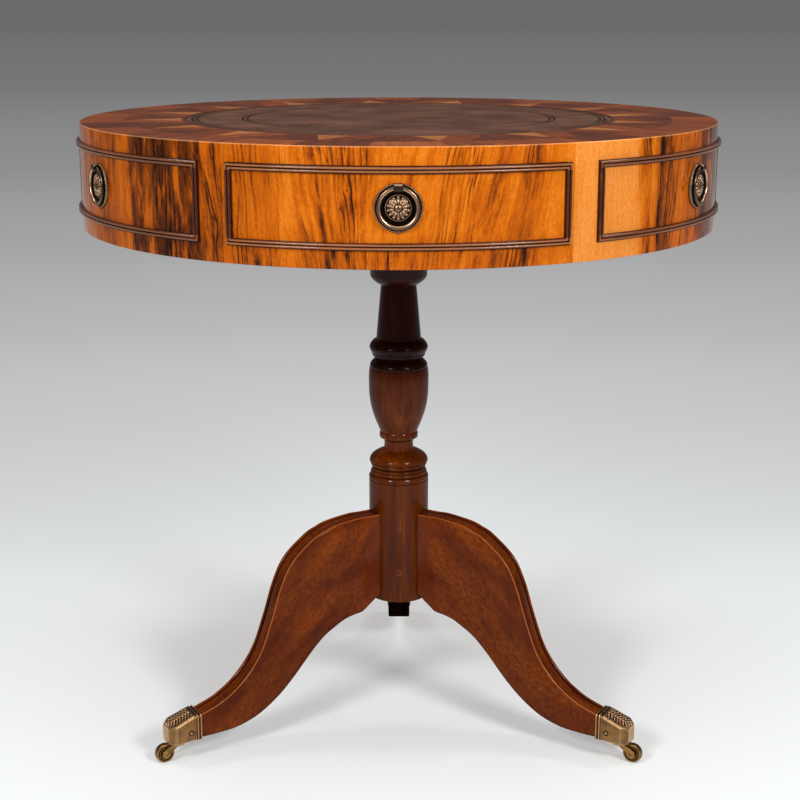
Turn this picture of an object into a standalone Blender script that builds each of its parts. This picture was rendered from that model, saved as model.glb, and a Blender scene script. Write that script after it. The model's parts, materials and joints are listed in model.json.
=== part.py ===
"""Drum table: a round veneered drum with three drawers, on a turned column with three downswept legs.

Metres, +Z up. The origin is on the floor under the column, and the front faces -Y.
"""

import math

import bmesh
import bpy
from mathutils import Matrix, Vector

for old in list(bpy.data.objects):
    bpy.data.objects.remove(old, do_unlink=True)

# Gaps: glued faces, running faces, the drawer front in its opening, and a moulding over a curved front
FIT = 0.0003
RUN = 0.0004
DRAWER_GAP = 0.0008
MOULDING_LIFT = 0.0006

# Drum
TABLE_HEIGHT = 0.7474
DRUM_RADIUS = 0.370
DRUM_HEIGHT = 0.1197
TOP_THICKNESS = 0.0183
BOTTOM_THICKNESS = 0.0188
RIM_ROUND = 0.0012
LEATHER_RADIUS = 0.2455
LEATHER_THICKNESS = 0.0015
FRIEZE_THICKNESS = 0.015
FRONT_PITCH = math.radians(60)
STILE_WIDTH = 0.034

# Mouldings on the fronts: two reeds side by side
MOULDING_WIDTH = 0.0075
MOULDING_PROUD = 0.0035
REED_VALLEY = 0.0014

# Drawers
LIP_OVERLAP = 0.005
FRONT_THICKNESS = 0.018
SIDE_INSET = 0.017
BOX_WALL = 0.009
BOX_HEIGHT = 0.062
BOX_BOTTOM = 0.005
BOX_BOTTOM_LIFT = 0.003
BACK_CLEARANCE = 0.018
GUIDE_WIDTH = 0.010
GUIDE_HEIGHT = 0.022

# Handles
HANDLE_DROP = 0.0585
PLATE_RADIUS = 0.0240
PLATE_WELL = 0.0016
PLATE_RIM = 0.0026
RIM_WIDTH = 0.0018
RIM_CREST = 0.0008
ROSETTE_RADIUS = 0.0128
ROSETTE_HEIGHT = 0.0050
ROSETTE_SHOULDER = 0.0102
ROSETTE_EDGE = 0.0045
BUTTON_RADIUS = 0.0032
BUTTON_HEIGHT = 0.0068
RING_RADIUS = 0.0195
RING_TUBE = 0.0022
EYE_RADIUS = 0.0044
EYE_LENGTH = 0.0090

# Column and bearer
COLUMN_RADIUS = 0.0367
COLUMN_FOOT = 0.1525
COLUMN_FOOT_ROUND = 0.0025
PLAIN_LENGTH = 0.1555
COLLAR_RADIUS = 0.0346
COLLAR_LENGTH = 0.0470
NECK_TOP_RADIUS = 0.0215
FLARE_LENGTH = 0.0146
BEARER_RADIUS = 0.110
BEARER_THICKNESS = 0.020
SPINDLE_RADIUS = 0.014
SPINDLE_SHORT = 0.002

# Legs: where each points, turned from the front, and their section
LEG_TURNS = {"left": math.radians(-60), "right": math.radians(60), "rear": math.radians(180)}
LEG_WIDTH = 0.029
LEG_END_HEIGHT = 0.0285
LEG_REACH = 0.2429
LEG_HIP = 0.2650
LEG_ROOT = 0.1607
LEG_REED = 0.0068
LEG_REED_RISE = 0.0022
LEG_CORNER = 0.0034
LEG_BURY = 0.012
TENON_LENGTH = 0.026
TENON_SIDE = 0.0030
TENON_UNDER = 0.0070
TENON_TOP = 0.0095

# Toe caps
CAP_WALL = 0.0010
CAP_LENGTH = 0.040
CAP_RIB = 0.0009
CAP_RIB_WIDTH = 0.0020
CAP_RIB_SLOPE = 0.0004
CAP_COLLAR = 0.0090
CAP_FALL = 0.0125
CAP_NOSE = 0.0055
CAP_NOSE_TAPER = 0.0050
CAP_EDGE = 0.0030

# Casters
WHEEL_RADIUS = 0.0115
WHEEL_WIDTH = 0.0084
WHEEL_CLEAR = 0.0015
WHEEL_EDGE = 0.0016
HUB_RADIUS = 0.0048
HUB_RECESS = 0.0010
TRAIL = 0.0190
SWIVEL_INSET = 0.0165
CHEEK = 0.0026
CHEEK_GAP = 0.0005
NECK_DEPTH = 0.0052
NECK_BACK = 0.0080
NECK_FRONT = 0.0048
AXLE_RADIUS = 0.0020
AXLE_HEAD = 0.0030
AXLE_HEAD_RISE = 0.0011
STEM_RADIUS = 0.0032
STEM_LENGTH = 0.0055
BOSS_RADIUS = 0.0050
BOSS_ARC = (math.radians(75), math.radians(-123))

# Facets round a full turn
ROUND_STEPS = {"drum": 64, "bearer": 40, "column": 24, "plate": 14, "ring": 24, "wheel": 16, "small": 12}
ARC_STEP = math.radians(3.9)
MOULDING_STEPS = 12
BOSS_STEPS = 6
SHARP_EDGE = math.radians(35)

# Heights that follow from the sizes above
DRUM_LOW = TABLE_HEIGHT - DRUM_HEIGHT
OPENING_LOW = DRUM_LOW + BOTTOM_THICKNESS
OPENING_HIGH = TABLE_HEIGHT - TOP_THICKNESS
BEARER_LOW = DRUM_LOW - FIT - BEARER_THICKNESS
SHOULDER = BEARER_LOW - FIT
CAP_LOW = 2 * WHEEL_RADIUS + WHEEL_CLEAR
LEG_END_LOW = CAP_LOW + CAP_WALL + CAP_RIB + FIT

# Widths that follow: the moulded fronts share the drum's round, and a drawer has parallel sides
MOULDING_TURN = FRONT_PITCH / 2 - STILE_WIDTH / 2 / DRUM_RADIUS
FRONT_HALF = DRUM_RADIUS * math.sin(MOULDING_TURN) - LIP_OVERLAP
OPENING_HALF = FRONT_HALF + DRAWER_GAP
BOX_HALF = FRONT_HALF - SIDE_INSET
BACK_REACH = BOX_HALF / math.tan(FRONT_PITCH) + BACK_CLEARANCE
RING_LIFT = PLATE_WELL + FIT + RING_TUBE
RING_SAG = (EYE_LENGTH / 2) ** 2 / (2 * RING_RADIUS)
EYE_BORE = (RING_TUBE + RING_SAG + FIT) / math.cos(math.pi / ROUND_STEPS["small"])
CAP_START = COLUMN_RADIUS + LEG_REACH
SWIVEL_REACH = CAP_START + CAP_LENGTH - SWIVEL_INSET


def finish(name, colour, roughness, metallic=0.0):
    material = bpy.data.materials.new(name)
    material.use_nodes = True
    shader = material.node_tree.nodes["Principled BSDF"]
    shader.inputs["Base Color"].default_value = (*colour, 1.0)
    shader.inputs["Roughness"].default_value = roughness
    shader.inputs["Metallic"].default_value = metallic
    material.diffuse_color = (*colour, 1.0)
    return material


WALNUT = finish("walnut_veneer", (0.42, 0.15, 0.035), 0.22)
MAHOGANY = finish("polished_mahogany", (0.17, 0.042, 0.014), 0.25)
DARK_MAHOGANY = finish("dark_mahogany", (0.085, 0.020, 0.011), 0.25)
OAK = finish("oak_lining", (0.34, 0.20, 0.09), 0.60)
LEATHER = finish("tooled_leather", (0.060, 0.040, 0.033), 0.45)
BRASS = finish("antique_brass", (0.30, 0.17, 0.065), 0.35, 1.0)
DARK_BRASS = finish("darkened_brass", (0.16, 0.10, 0.060), 0.38, 1.0)


def mesh_from(shape, name):
    """The bmesh as a mesh with its faces out, smooth but for its real edges."""
    bmesh.ops.recalc_face_normals(shape, faces=shape.faces)
    mesh = bpy.data.meshes.new(name)
    shape.to_mesh(mesh)
    shape.free()
    mesh.shade_smooth()
    mesh.set_sharp_from_angle(angle=SHARP_EDGE)
    return mesh


def place(name, mesh, material, parent=None, location=(0, 0, 0), rotation=(0, 0, 0)):
    piece = bpy.data.objects.new(name, mesh)
    bpy.context.scene.collection.objects.link(piece)
    if not mesh.materials:
        mesh.materials.append(material)
    piece.parent = parent
    piece.location = location
    piece.rotation_euler = rotation
    return piece


def pivot(name, location=(0, 0, 0), turn=0.0, parent=None):
    """An empty on a joint's axis, which carries the pieces that move on it."""
    empty = bpy.data.objects.new(name, None)
    bpy.context.scene.collection.objects.link(empty)
    empty.parent = parent
    empty.location = location
    empty.rotation_euler = (0, 0, turn)
    return empty


def turned(name, profile, steps, closed=False):
    """A lathe piece about Z from (radius, height) points. A closed profile keeps a bore."""
    shape = bmesh.new()
    points = [shape.verts.new((radius, 0, height)) for radius, height in profile]
    pairs = list(zip(points, points[1:]))
    if closed:
        pairs.append((points[-1], points[0]))
    edges = [shape.edges.new(pair) for pair in pairs]
    bmesh.ops.spin(
        shape, geom=points + edges, axis=(0, 0, 1), cent=(0, 0, 0), angle=math.tau, steps=steps,
        use_merge=True,
    )
    bmesh.ops.remove_doubles(shape, verts=shape.verts, dist=1e-6)
    return mesh_from(shape, name)


def extruded(name, outline, low, high):
    """A plan outline raised from one height to another."""
    shape = bmesh.new()
    base = shape.faces.new([shape.verts.new((x, y, low)) for x, y in outline])
    raised = bmesh.ops.extrude_face_region(shape, geom=[base])
    lifted = [item for item in raised["geom"] if isinstance(item, bmesh.types.BMVert)]
    bmesh.ops.translate(shape, verts=lifted, vec=(0, 0, high - low))
    return mesh_from(shape, name)


def lofted(name, sections, ring=False):
    """A skin over sections of equal point counts, with flat ends, or joined up as a ring."""
    shape = bmesh.new()
    loops = [[shape.verts.new(point) for point in section] for section in sections]
    following = loops[1:] + loops[:1] if ring else loops[1:]
    for loop, after in zip(loops, following):
        for i in range(len(loop)):
            j = (i + 1) % len(loop)
            shape.faces.new((loop[i], loop[j], after[j], after[i]))
    if not ring:
        shape.faces.new(loops[0])
        shape.faces.new(loops[-1])
    return mesh_from(shape, name)


def rod(name, radius, start, end, steps=ROUND_STEPS["small"]):
    """A plain round bar between two points."""
    start, end = Vector(start), Vector(end)
    shape = bmesh.new()
    bmesh.ops.create_cone(
        shape, cap_ends=True, segments=steps, radius1=radius, radius2=radius, depth=(end - start).length
    )
    turn = (end - start).to_track_quat("Z", "Y").to_matrix().to_4x4()
    bmesh.ops.transform(shape, matrix=Matrix.Translation((start + end) / 2) @ turn, verts=shape.verts)
    return mesh_from(shape, name)


def carved(mesh, add=(), cut=()):
    """The mesh with others joined to it and then cut from it."""
    body = place("carving", mesh, None)
    helpers = []
    for operation, others in (("UNION", add), ("DIFFERENCE", cut)):
        for other in others:
            helper = place("carving_tool", other, None)
            helpers.append(helper)
            modifier = body.modifiers.new(operation.lower(), "BOOLEAN")
            modifier.operation = operation
            modifier.object = helper
    bpy.context.view_layer.update()
    evaluated = body.evaluated_get(bpy.context.evaluated_depsgraph_get())
    result = bpy.data.meshes.new_from_object(evaluated)
    result.materials.clear()
    for item in [body, *helpers]:
        bpy.data.objects.remove(item, do_unlink=True)
    return result


def arc(radius, start, end):
    """Plan points on the drum's round, by the turn from the front."""
    count = max(2, math.ceil(abs(end - start) / ARC_STEP))
    turns = [start + (end - start) * i / count for i in range(count + 1)]
    return [(radius * math.sin(turn), -radius * math.cos(turn)) for turn in turns]


def column():
    """Turned elements from the foot up: end radius, length and how far the middle swells or hollows."""
    lower = [
        (COLUMN_RADIUS, PLAIN_LENGTH, 0.0),
        (0.0324, 0.0134, -0.0004),
        (0.0187, 0.0232, 0.0093),
        (0.0193, 0.0128, -0.0010),
        (0.0230, 0.0026, 0.0),
        (0.0230, 0.0077, 0.0006),
        (0.0364, 0.0710, 0.0050),
        (0.0287, 0.0201, 0.0025),
        (0.0326, 0.0062, 0.0006),
        (0.0272, 0.0200, 0.0050),
    ]
    turned_length = sum(length for _, length, _ in lower)
    neck_length = SHOULDER - COLUMN_FOOT - turned_length - FLARE_LENGTH - COLLAR_LENGTH
    upper = [
        (NECK_TOP_RADIUS, neck_length, 0.0),
        (COLLAR_RADIUS, FLARE_LENGTH, 0.0021),
        (COLLAR_RADIUS, COLLAR_LENGTH, 0.0),
    ]
    short_length, short_steps, long_steps = 0.010, 2, 5
    radius, height = COLUMN_RADIUS, COLUMN_FOOT
    foot = COLUMN_RADIUS - COLUMN_FOOT_ROUND
    profile = [(0, height), (foot, height), (COLUMN_RADIUS, height + COLUMN_FOOT_ROUND)]
    for end_radius, length, swell in lower + upper:
        steps = 1 if swell == 0 else short_steps if length < short_length else long_steps
        for i in range(1, steps + 1):
            share = i / steps
            swollen = radius + (end_radius - radius) * share + swell * math.sin(math.pi * share)
            profile.append((swollen, height + length * share))
        radius, height = end_radius, height + length
    spindle_top = OPENING_LOW - SPINDLE_SHORT
    profile += [(SPINDLE_RADIUS, SHOULDER), (SPINDLE_RADIUS, spindle_top), (0, spindle_top)]
    return turned("column", profile[::-1], ROUND_STEPS["column"])


def flat_ring(name, bore, radius, low, high, steps):
    return turned(name, [(bore, high), (radius, high), (radius, low), (bore, low)], steps, closed=True)


def smooth_through(points, steps):
    """Points along a smooth curve through the given ones."""
    knots = [Vector(point) for point in points]
    knots = [2 * knots[0] - knots[1], *knots, 2 * knots[-1] - knots[-2]]
    curve = []
    for before, start, end, after in zip(knots, knots[1:], knots[2:], knots[3:]):
        for i in range(steps):
            t = i / steps
            bend = (2 * before - 5 * start + 4 * end - after) * t * t
            twist = (3 * start - before - 3 * end + after) * t**3
            curve.append(0.5 * (2 * start + (end - before) * t + bend + twist))
    return [*curve, knots[-2]]


def leg():
    """A leg along +X from the column's axis: a hipped curve down to a tenon for the toe cap."""
    # Shares of the reach and of the rise from the toe, for the top edge and the under edge
    top_edge = [
        (0.0, 1.0), (0.062, 1.0), (0.124, 1.0), (0.247, 0.981), (0.309, 0.957), (0.371, 0.922), (0.487, 0.809),
        (0.553, 0.666), (0.608, 0.476), (0.675, 0.285), (0.775, 0.140), (0.885, 0.050), (1.0, 0.0),
    ]
    under_edge = [
        (0.0, 1.0), (0.094, 0.870), (0.185, 0.838), (0.250, 0.782), (0.318, 0.705), (0.375, 0.610), (0.425, 0.512),
        (0.497, 0.366), (0.583, 0.220), (0.690, 0.090), (0.800, 0.022), (0.900, 0.004), (1.0, 0.0),
    ]

    def sized(edge, low, high):
        return [Vector((LEG_REACH * reach, low + (high - low) * rise)) for reach, rise in edge]

    steps = 2
    tops = smooth_through(sized(top_edge, LEG_END_LOW + LEG_END_HEIGHT, LEG_HIP), steps)
    root, *rest = sized(under_edge, LEG_END_LOW, LEG_ROOT)
    straight = [root.lerp(rest[0], i / steps) for i in range(steps)]
    unders = straight + smooth_through(rest, steps)

    # The top's beads stand square to its curve, and both ends are cut upright
    upright = Vector((0, -1))
    inwards = [upright]
    for before, after in zip(tops, tops[2:]):
        along = after - before
        inwards.append(Vector((along.y, -along.x)).normalized())
    inwards.append(upright)
    stations = list(zip(tops, unders, inwards))
    buried = Vector((-LEG_BURY, 0))
    stations.insert(0, (tops[0] + buried, root + buried, upright))

    # Across the top, a bead at each side with a flat sunk between them
    half = LEG_WIDTH / 2
    side = [(-half, LEG_CORNER), (-half + LEG_REED / 4, 0), (-half + LEG_REED * 3 / 4, 0)]
    side += [(-half + LEG_REED, LEG_REED_RISE)]
    across = side + [(-x, drop) for x, drop in reversed(side)]

    def section(top, under, inward):
        points = [(x, top + inward * drop) for x, drop in across]
        points += [(half, under), (-half, under)]
        return [(COLUMN_RADIUS + point.x, x, point.y) for x, point in points]

    sections = [section(*station) for station in stations]
    end_top, end_under, _ = stations[-1]
    for reach_on in (0.0, TENON_LENGTH):
        low = end_under.y + TENON_UNDER
        high = end_top.y - TENON_TOP
        ring = []
        for _, x, height in sections[len(stations) - 1]:
            share = (height - end_under.y) / LEG_END_HEIGHT
            ring.append((CAP_START + reach_on, x * (1 - TENON_SIDE / half), low + (high - low) * share))
        sections.append(ring)
    scribe = rod("scribe", COLUMN_RADIUS + FIT, (0, 0, 0), (0, 0, SHOULDER), ROUND_STEPS["drum"])
    return carved(lofted("leg", sections), cut=[scribe])


def cap():
    """A brass toe cap along +X: a ribbed collar, a falling top and a nose with bevelled corners."""
    half = LEG_WIDTH / 2 + CAP_WALL + FIT
    high = LEG_END_LOW + LEG_END_HEIGHT + CAP_WALL + FIT
    low = CAP_LOW + CAP_RIB
    body = CAP_LENGTH - CAP_COLLAR

    def section(reach, grow, fall=0.0, taper=0.0):
        wide, top, under = half + grow - taper, high + grow - fall, low - grow
        edge = CAP_EDGE
        outline = [(-wide, top - edge), (-wide + edge, top), (wide - edge, top), (wide, top - edge)]
        outline += [(wide, under), (-wide, under)]
        return [(CAP_START + reach, x, z) for x, z in outline]

    sections = []
    for start in (0.0, 2 * CAP_RIB_WIDTH):
        end = start + CAP_RIB_WIDTH
        sections += [section(start, CAP_RIB), section(end, CAP_RIB)]
        sections += [section(end + CAP_RIB_SLOPE, 0), section(end + CAP_RIB_WIDTH - CAP_RIB_SLOPE, 0)]
    sections.append(section(CAP_COLLAR, 0))
    nose_fall = CAP_FALL * (1 - CAP_NOSE / body)
    sections.append(section(CAP_LENGTH - CAP_NOSE, CAP_RIB, nose_fall))
    sections.append(section(CAP_LENGTH, CAP_RIB, CAP_FALL, CAP_NOSE_TAPER))

    pocket_half = LEG_WIDTH / 2 - TENON_SIDE + FIT
    pocket_low = LEG_END_LOW + TENON_UNDER - FIT
    pocket_high = LEG_END_LOW + LEG_END_HEIGHT - TENON_TOP + FIT
    corners = [(-pocket_half, pocket_low), (pocket_half, pocket_low)]
    corners += [(pocket_half, pocket_high), (-pocket_half, pocket_high)]
    reaches = (CAP_START - CAP_RIB_WIDTH, CAP_START + TENON_LENGTH + FIT)
    pocket = lofted("pocket", [[(reach, x, z) for x, z in corners] for reach in reaches])
    top = CAP_LOW + FIT + STEM_LENGTH
    socket = rod("socket", STEM_RADIUS + RUN, (SWIVEL_REACH, 0, 0), (SWIVEL_REACH, 0, top))
    return carved(lofted("cap", sections), cut=[pocket, socket])


def horn():
    """A caster horn about its swivel: a neck under the cap, with cheeks that trail outwards to the axle."""
    top = CAP_LOW - FIT
    half = WHEEL_WIDTH / 2 + CHEEK_GAP + CHEEK
    outline = [(-NECK_BACK, top - NECK_DEPTH), (-NECK_BACK, top), (NECK_BACK, top)]
    start, end = BOSS_ARC
    for i in range(BOSS_STEPS + 1):
        turn = start + (end - start) * i / BOSS_STEPS
        outline.append((TRAIL + BOSS_RADIUS * math.cos(turn), WHEEL_RADIUS + BOSS_RADIUS * math.sin(turn)))
    outline.append((NECK_FRONT, top - NECK_DEPTH))
    body = lofted("horn", [[(x, y, z) for x, z in outline] for y in (-half, half)])
    gap = WHEEL_WIDTH / 2 + CHEEK_GAP
    back = TRAIL - WHEEL_RADIUS - CHEEK_GAP
    front = TRAIL + WHEEL_RADIUS
    slot_outline = [(back, -gap), (front, -gap), (front, gap), (back, gap)]
    slot = extruded("slot", slot_outline, -WHEEL_RADIUS, top + WHEEL_RADIUS)
    stem = rod("stem", STEM_RADIUS, (0, 0, top - NECK_DEPTH / 2), (0, 0, top + STEM_LENGTH))
    reach = half + CHEEK
    bore = rod("bore", AXLE_RADIUS + FIT, (TRAIL, -reach, WHEEL_RADIUS), (TRAIL, reach, WHEEL_RADIUS))
    return carved(body, add=[stem], cut=[slot, bore])


def wheel():
    """A brass wheel about its own Z, with a crowned tread and dished faces."""
    half = WHEEL_WIDTH / 2
    bore = AXLE_RADIUS + RUN
    dish = half - HUB_RECESS
    face = [(bore, half), (HUB_RADIUS, half), (HUB_RADIUS, dish), (WHEEL_RADIUS - 2 * WHEEL_EDGE, dish)]
    face += [(WHEEL_RADIUS - WHEEL_EDGE, half), (WHEEL_RADIUS, half - WHEEL_EDGE)]
    profile = face + [(radius, -height) for radius, height in reversed(face)]
    return turned("wheel", profile, ROUND_STEPS["wheel"], closed=True)


def axle():
    """A riveted pin through the horn's cheeks, about its own Z."""
    grip = WHEEL_WIDTH / 2 + CHEEK_GAP + CHEEK + FIT
    end = [(0, grip + AXLE_HEAD_RISE), (AXLE_RADIUS, grip + AXLE_HEAD_RISE), (AXLE_HEAD, grip)]
    end.append((AXLE_RADIUS, grip))
    profile = end + [(radius, -height) for radius, height in reversed(end)]
    return turned("axle", profile, ROUND_STEPS["small"])


def moulding():
    """A mitred frame of two reeds, bent round the drum, its outer edge on the opening's edge."""
    across = [(0.0, 0.0)]
    reed = MOULDING_WIDTH / 2
    for k in range(2):
        for i in range(4 if k == 0 else 3):
            turn = math.pi * (i if k == 0 else i + 1) / 3
            rise = REED_VALLEY + (MOULDING_PROUD - REED_VALLEY) * math.sin(turn)
            across.append((reed * (k + (1 - math.cos(turn)) / 2), rise))
    across.append((MOULDING_WIDTH, 0.0))
    low, high = OPENING_LOW + FIT, OPENING_HIGH - FIT

    def section(share, upper):
        points = []
        for inward, rise in across:
            turn = (MOULDING_TURN - inward / DRUM_RADIUS) * share
            radius = DRUM_RADIUS + MOULDING_LIFT + rise
            height = high - inward if upper else low + inward
            points.append((radius * math.sin(turn), -radius * math.cos(turn), height))
        return points

    shares = [2 * i / MOULDING_STEPS - 1 for i in range(MOULDING_STEPS + 1)]
    sections = [section(share, True) for share in shares]
    sections += [section(share, False) for share in reversed(shares)]
    return lofted("moulding", sections, ring=True)


def backplate():
    """A round cast plate about its own Z: rim, well, rosette and button, with the ring's eye above."""
    well_edge = PLATE_RADIUS - RIM_WIDTH
    profile = [
        (0, BUTTON_HEIGHT), (BUTTON_RADIUS, ROSETTE_HEIGHT), (ROSETTE_SHOULDER, ROSETTE_EDGE),
        (ROSETTE_RADIUS, PLATE_WELL), (well_edge, PLATE_WELL), (well_edge + RIM_CREST, PLATE_RIM),
        (PLATE_RADIUS, PLATE_WELL), (PLATE_RADIUS, 0), (0, 0),
    ]
    plate = turned("backplate", profile, ROUND_STEPS["plate"])
    half = EYE_LENGTH / 2
    eye = rod("eye", EYE_RADIUS, (-half, RING_RADIUS, RING_LIFT), (half, RING_RADIUS, RING_LIFT))
    bore = rod("bore", EYE_BORE, (-EYE_LENGTH, RING_RADIUS, RING_LIFT), (EYE_LENGTH, RING_RADIUS, RING_LIFT))
    under = extruded(
        "under", [(-half, RING_RADIUS - EYE_RADIUS), (half, RING_RADIUS - EYE_RADIUS),
                  (half, RING_RADIUS + EYE_RADIUS), (-half, RING_RADIUS + EYE_RADIUS)], -EYE_RADIUS, 0.0
    )
    return carved(plate, add=[eye], cut=[bore, under])


def ring():
    """A plain ring that hangs from its origin, which lies on its own tube."""
    sides = 6
    profile = []
    for i in range(sides):
        turn = -math.tau * i / sides
        profile.append((RING_RADIUS + RING_TUBE * math.cos(turn), RING_TUBE * math.sin(turn)))
    mesh = turned("ring", profile, ROUND_STEPS["ring"], closed=True)
    mesh.transform(Matrix.Translation((0, 0, -RING_RADIUS)) @ Matrix.Rotation(math.radians(90), 4, "X"))
    return mesh


def drawer_plan(reach_side, radius):
    """Half the turn at which a line parallel to the drawer meets a round."""
    return math.asin(reach_side / radius)


def drawer_pieces():
    """The meshes of one drawer, facing -Y."""
    inner = DRUM_RADIUS - FRONT_THICKNESS
    outer_turn = drawer_plan(FRONT_HALF, DRUM_RADIUS)
    inner_turn = drawer_plan(FRONT_HALF, inner)
    front = arc(DRUM_RADIUS, -outer_turn, outer_turn) + arc(inner, inner_turn, -inner_turn)
    low, high = OPENING_LOW + FIT, OPENING_LOW + FIT + BOX_HEIGHT
    bow = inner - FIT
    wall = BOX_HALF - BOX_WALL

    def side(sign):
        near = [(sign * x, -math.sqrt(bow**2 - x**2)) for x in (wall, BOX_HALF)]
        return [*near, (sign * BOX_HALF, -BACK_REACH), (sign * wall, -BACK_REACH)]

    inside = wall - FIT
    back_face = -BACK_REACH - BOX_WALL
    back = [(-inside, back_face), (inside, back_face), (inside, -BACK_REACH), (-inside, -BACK_REACH)]
    turn = drawer_plan(inside, bow)
    # The bottom's bowed edge is cut on chords inside the front's inner round
    sag = bow * (1 - math.cos(ARC_STEP / 2))
    bottom = arc(bow - sag, -turn, turn) + [(inside, back_face - FIT), (-inside, back_face - FIT)]
    bottom_low = low + BOX_BOTTOM_LIFT
    panel_low, panel_high = OPENING_LOW + DRAWER_GAP, OPENING_HIGH - DRAWER_GAP
    return {
        "panel": (extruded("drawer_panel", front, panel_low, panel_high), WALNUT),
        "left_side": (extruded("drawer_left_side", side(-1), low, high), OAK),
        "right_side": (extruded("drawer_right_side", side(1), low, high), OAK),
        "back": (extruded("drawer_back", back, low, high), OAK),
        "bottom": (extruded("drawer_bottom", bottom, bottom_low, bottom_low + BOX_BOTTOM), OAK),
    }


def dummy_panel():
    """A curved frieze panel between two drawers, its ends parallel to their sides."""
    inner = DRUM_RADIUS - FRIEZE_THICKNESS
    outer_turn = FRONT_PITCH - drawer_plan(OPENING_HALF, DRUM_RADIUS)
    inner_turn = FRONT_PITCH - drawer_plan(OPENING_HALF, inner)
    outline = arc(DRUM_RADIUS, -outer_turn, outer_turn) + arc(inner, inner_turn, -inner_turn)
    return extruded("dummy_panel", outline, OPENING_LOW + FIT, OPENING_HIGH - FIT)


def guide():
    """A block with two arms, each along the side of a drawer to its left or right."""
    near = BOX_HALF + DRAWER_GAP
    far = near + GUIDE_WIDTH
    behind = DRUM_RADIUS - max(FRIEZE_THICKNESS, FRONT_THICKNESS) - DRAWER_GAP
    length = math.sqrt(behind**2 - far**2)

    def spot(along, aside, sign):
        x = along * math.sin(FRONT_PITCH) - aside * math.cos(FRONT_PITCH)
        y = along * math.cos(FRONT_PITCH) + aside * math.sin(FRONT_PITCH)
        return (sign * x, -y)

    def apex(aside):
        return (0.0, -aside / math.sin(FRONT_PITCH))

    outline = [apex(near), spot(length, near, 1), spot(length, far, 1)]
    outline += [apex(far), spot(length, far, -1), spot(length, near, -1)]
    return extruded("guide", outline, OPENING_LOW + FIT, OPENING_LOW + FIT + GUIDE_HEIGHT)


# The base: column, bearer and legs, with a caster under each toe
place("column", column(), MAHOGANY)
bearer_mesh = flat_ring(
    "bearer", SPINDLE_RADIUS + FIT, BEARER_RADIUS, BEARER_LOW, DRUM_LOW - FIT, ROUND_STEPS["bearer"]
)
place("bearer", bearer_mesh, MAHOGANY)
leg_mesh, cap_mesh, horn_mesh, wheel_mesh, axle_mesh = leg(), cap(), horn(), wheel(), axle()
ALONG_X = math.radians(-90)
LIE_ACROSS = (math.radians(90), 0, 0)
for side, turn in LEG_TURNS.items():
    foot = pivot(f"{side}_foot", turn=turn + ALONG_X)
    place(f"{side}_leg", leg_mesh, MAHOGANY, foot)
    place(f"{side}_cap", cap_mesh, BRASS, foot)
    swivel = pivot(f"{side}_swivel", (SWIVEL_REACH, 0, 0), parent=foot)
    place(f"{side}_horn", horn_mesh, BRASS, swivel)
    hub = (TRAIL, 0, WHEEL_RADIUS)
    place(f"{side}_axle", axle_mesh, BRASS, swivel, hub, LIE_ACROSS)
    place(f"{side}_wheel", wheel_mesh, BRASS, swivel, hub, LIE_ACROSS)

# The drum, which turns on the column's spindle
drum = pivot("drum_turn")
recess = TABLE_HEIGHT - LEATHER_THICKNESS - FIT
recess_edge = LEATHER_RADIUS + FIT
top_profile = [
    (0, recess), (recess_edge, recess), (recess_edge, TABLE_HEIGHT), (DRUM_RADIUS - RIM_ROUND, TABLE_HEIGHT),
    (DRUM_RADIUS, TABLE_HEIGHT - RIM_ROUND), (DRUM_RADIUS, OPENING_HIGH), (0, OPENING_HIGH),
]
place("top_board", turned("top_board", top_profile, ROUND_STEPS["drum"]), WALNUT, drum)
leather_low = recess + FIT
leather_profile = [
    (0, TABLE_HEIGHT), (LEATHER_RADIUS, TABLE_HEIGHT), (LEATHER_RADIUS, leather_low), (0, leather_low),
]
place("leather_inset", turned("leather_inset", leather_profile, ROUND_STEPS["drum"]), LEATHER, drum)
bottom_mesh = flat_ring(
    "bottom_board", SPINDLE_RADIUS + RUN, DRUM_RADIUS, DRUM_LOW, OPENING_LOW, ROUND_STEPS["drum"]
)
place("bottom_board", bottom_mesh, WALNUT, drum)

# Six fronts: drawers and dummies by turns, each with its moulding, backplate and ring
moulding_mesh, plate_mesh, ring_mesh = moulding(), backplate(), ring()
drawer_meshes, dummy_mesh, guide_mesh = drawer_pieces(), dummy_panel(), guide()
HANDLE_HEIGHT = TABLE_HEIGHT - HANDLE_DROP
PLATE_BACK = DRUM_RADIUS + FIT
FRONTS = ("front_drawer", "right_dummy", "right_drawer", "rear_dummy", "left_drawer", "left_dummy")
for index, front in enumerate(FRONTS):
    face = pivot(f"{front}_face", turn=index * FRONT_PITCH, parent=drum)
    if front.endswith("drawer"):
        for piece, (mesh, material) in drawer_meshes.items():
            place(f"{front}_{piece}", mesh, material, face)
    else:
        place(f"{front}_panel", dummy_mesh, WALNUT, face)
        place(f"{front}_guide", guide_mesh, OAK, face)
    place(f"{front}_moulding", moulding_mesh, DARK_MAHOGANY, face)
    place(f"{front}_backplate", plate_mesh, DARK_BRASS, face, (0, -PLATE_BACK, HANDLE_HEIGHT), LIE_ACROSS)
    eye_spot = (0, -PLATE_BACK - RING_LIFT, HANDLE_HEIGHT + RING_RADIUS)
    place(f"{front}_ring", ring_mesh, DARK_BRASS, face, eye_spot)
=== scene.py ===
"""Drum table: a walnut-veneered drum with three drawers, which turns on a turned mahogany column
with three downswept legs in brass toe caps and casters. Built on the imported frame, in metres."""

import json
import math

import bmesh
import bpy
from mathutils import Matrix, Vector


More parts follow.
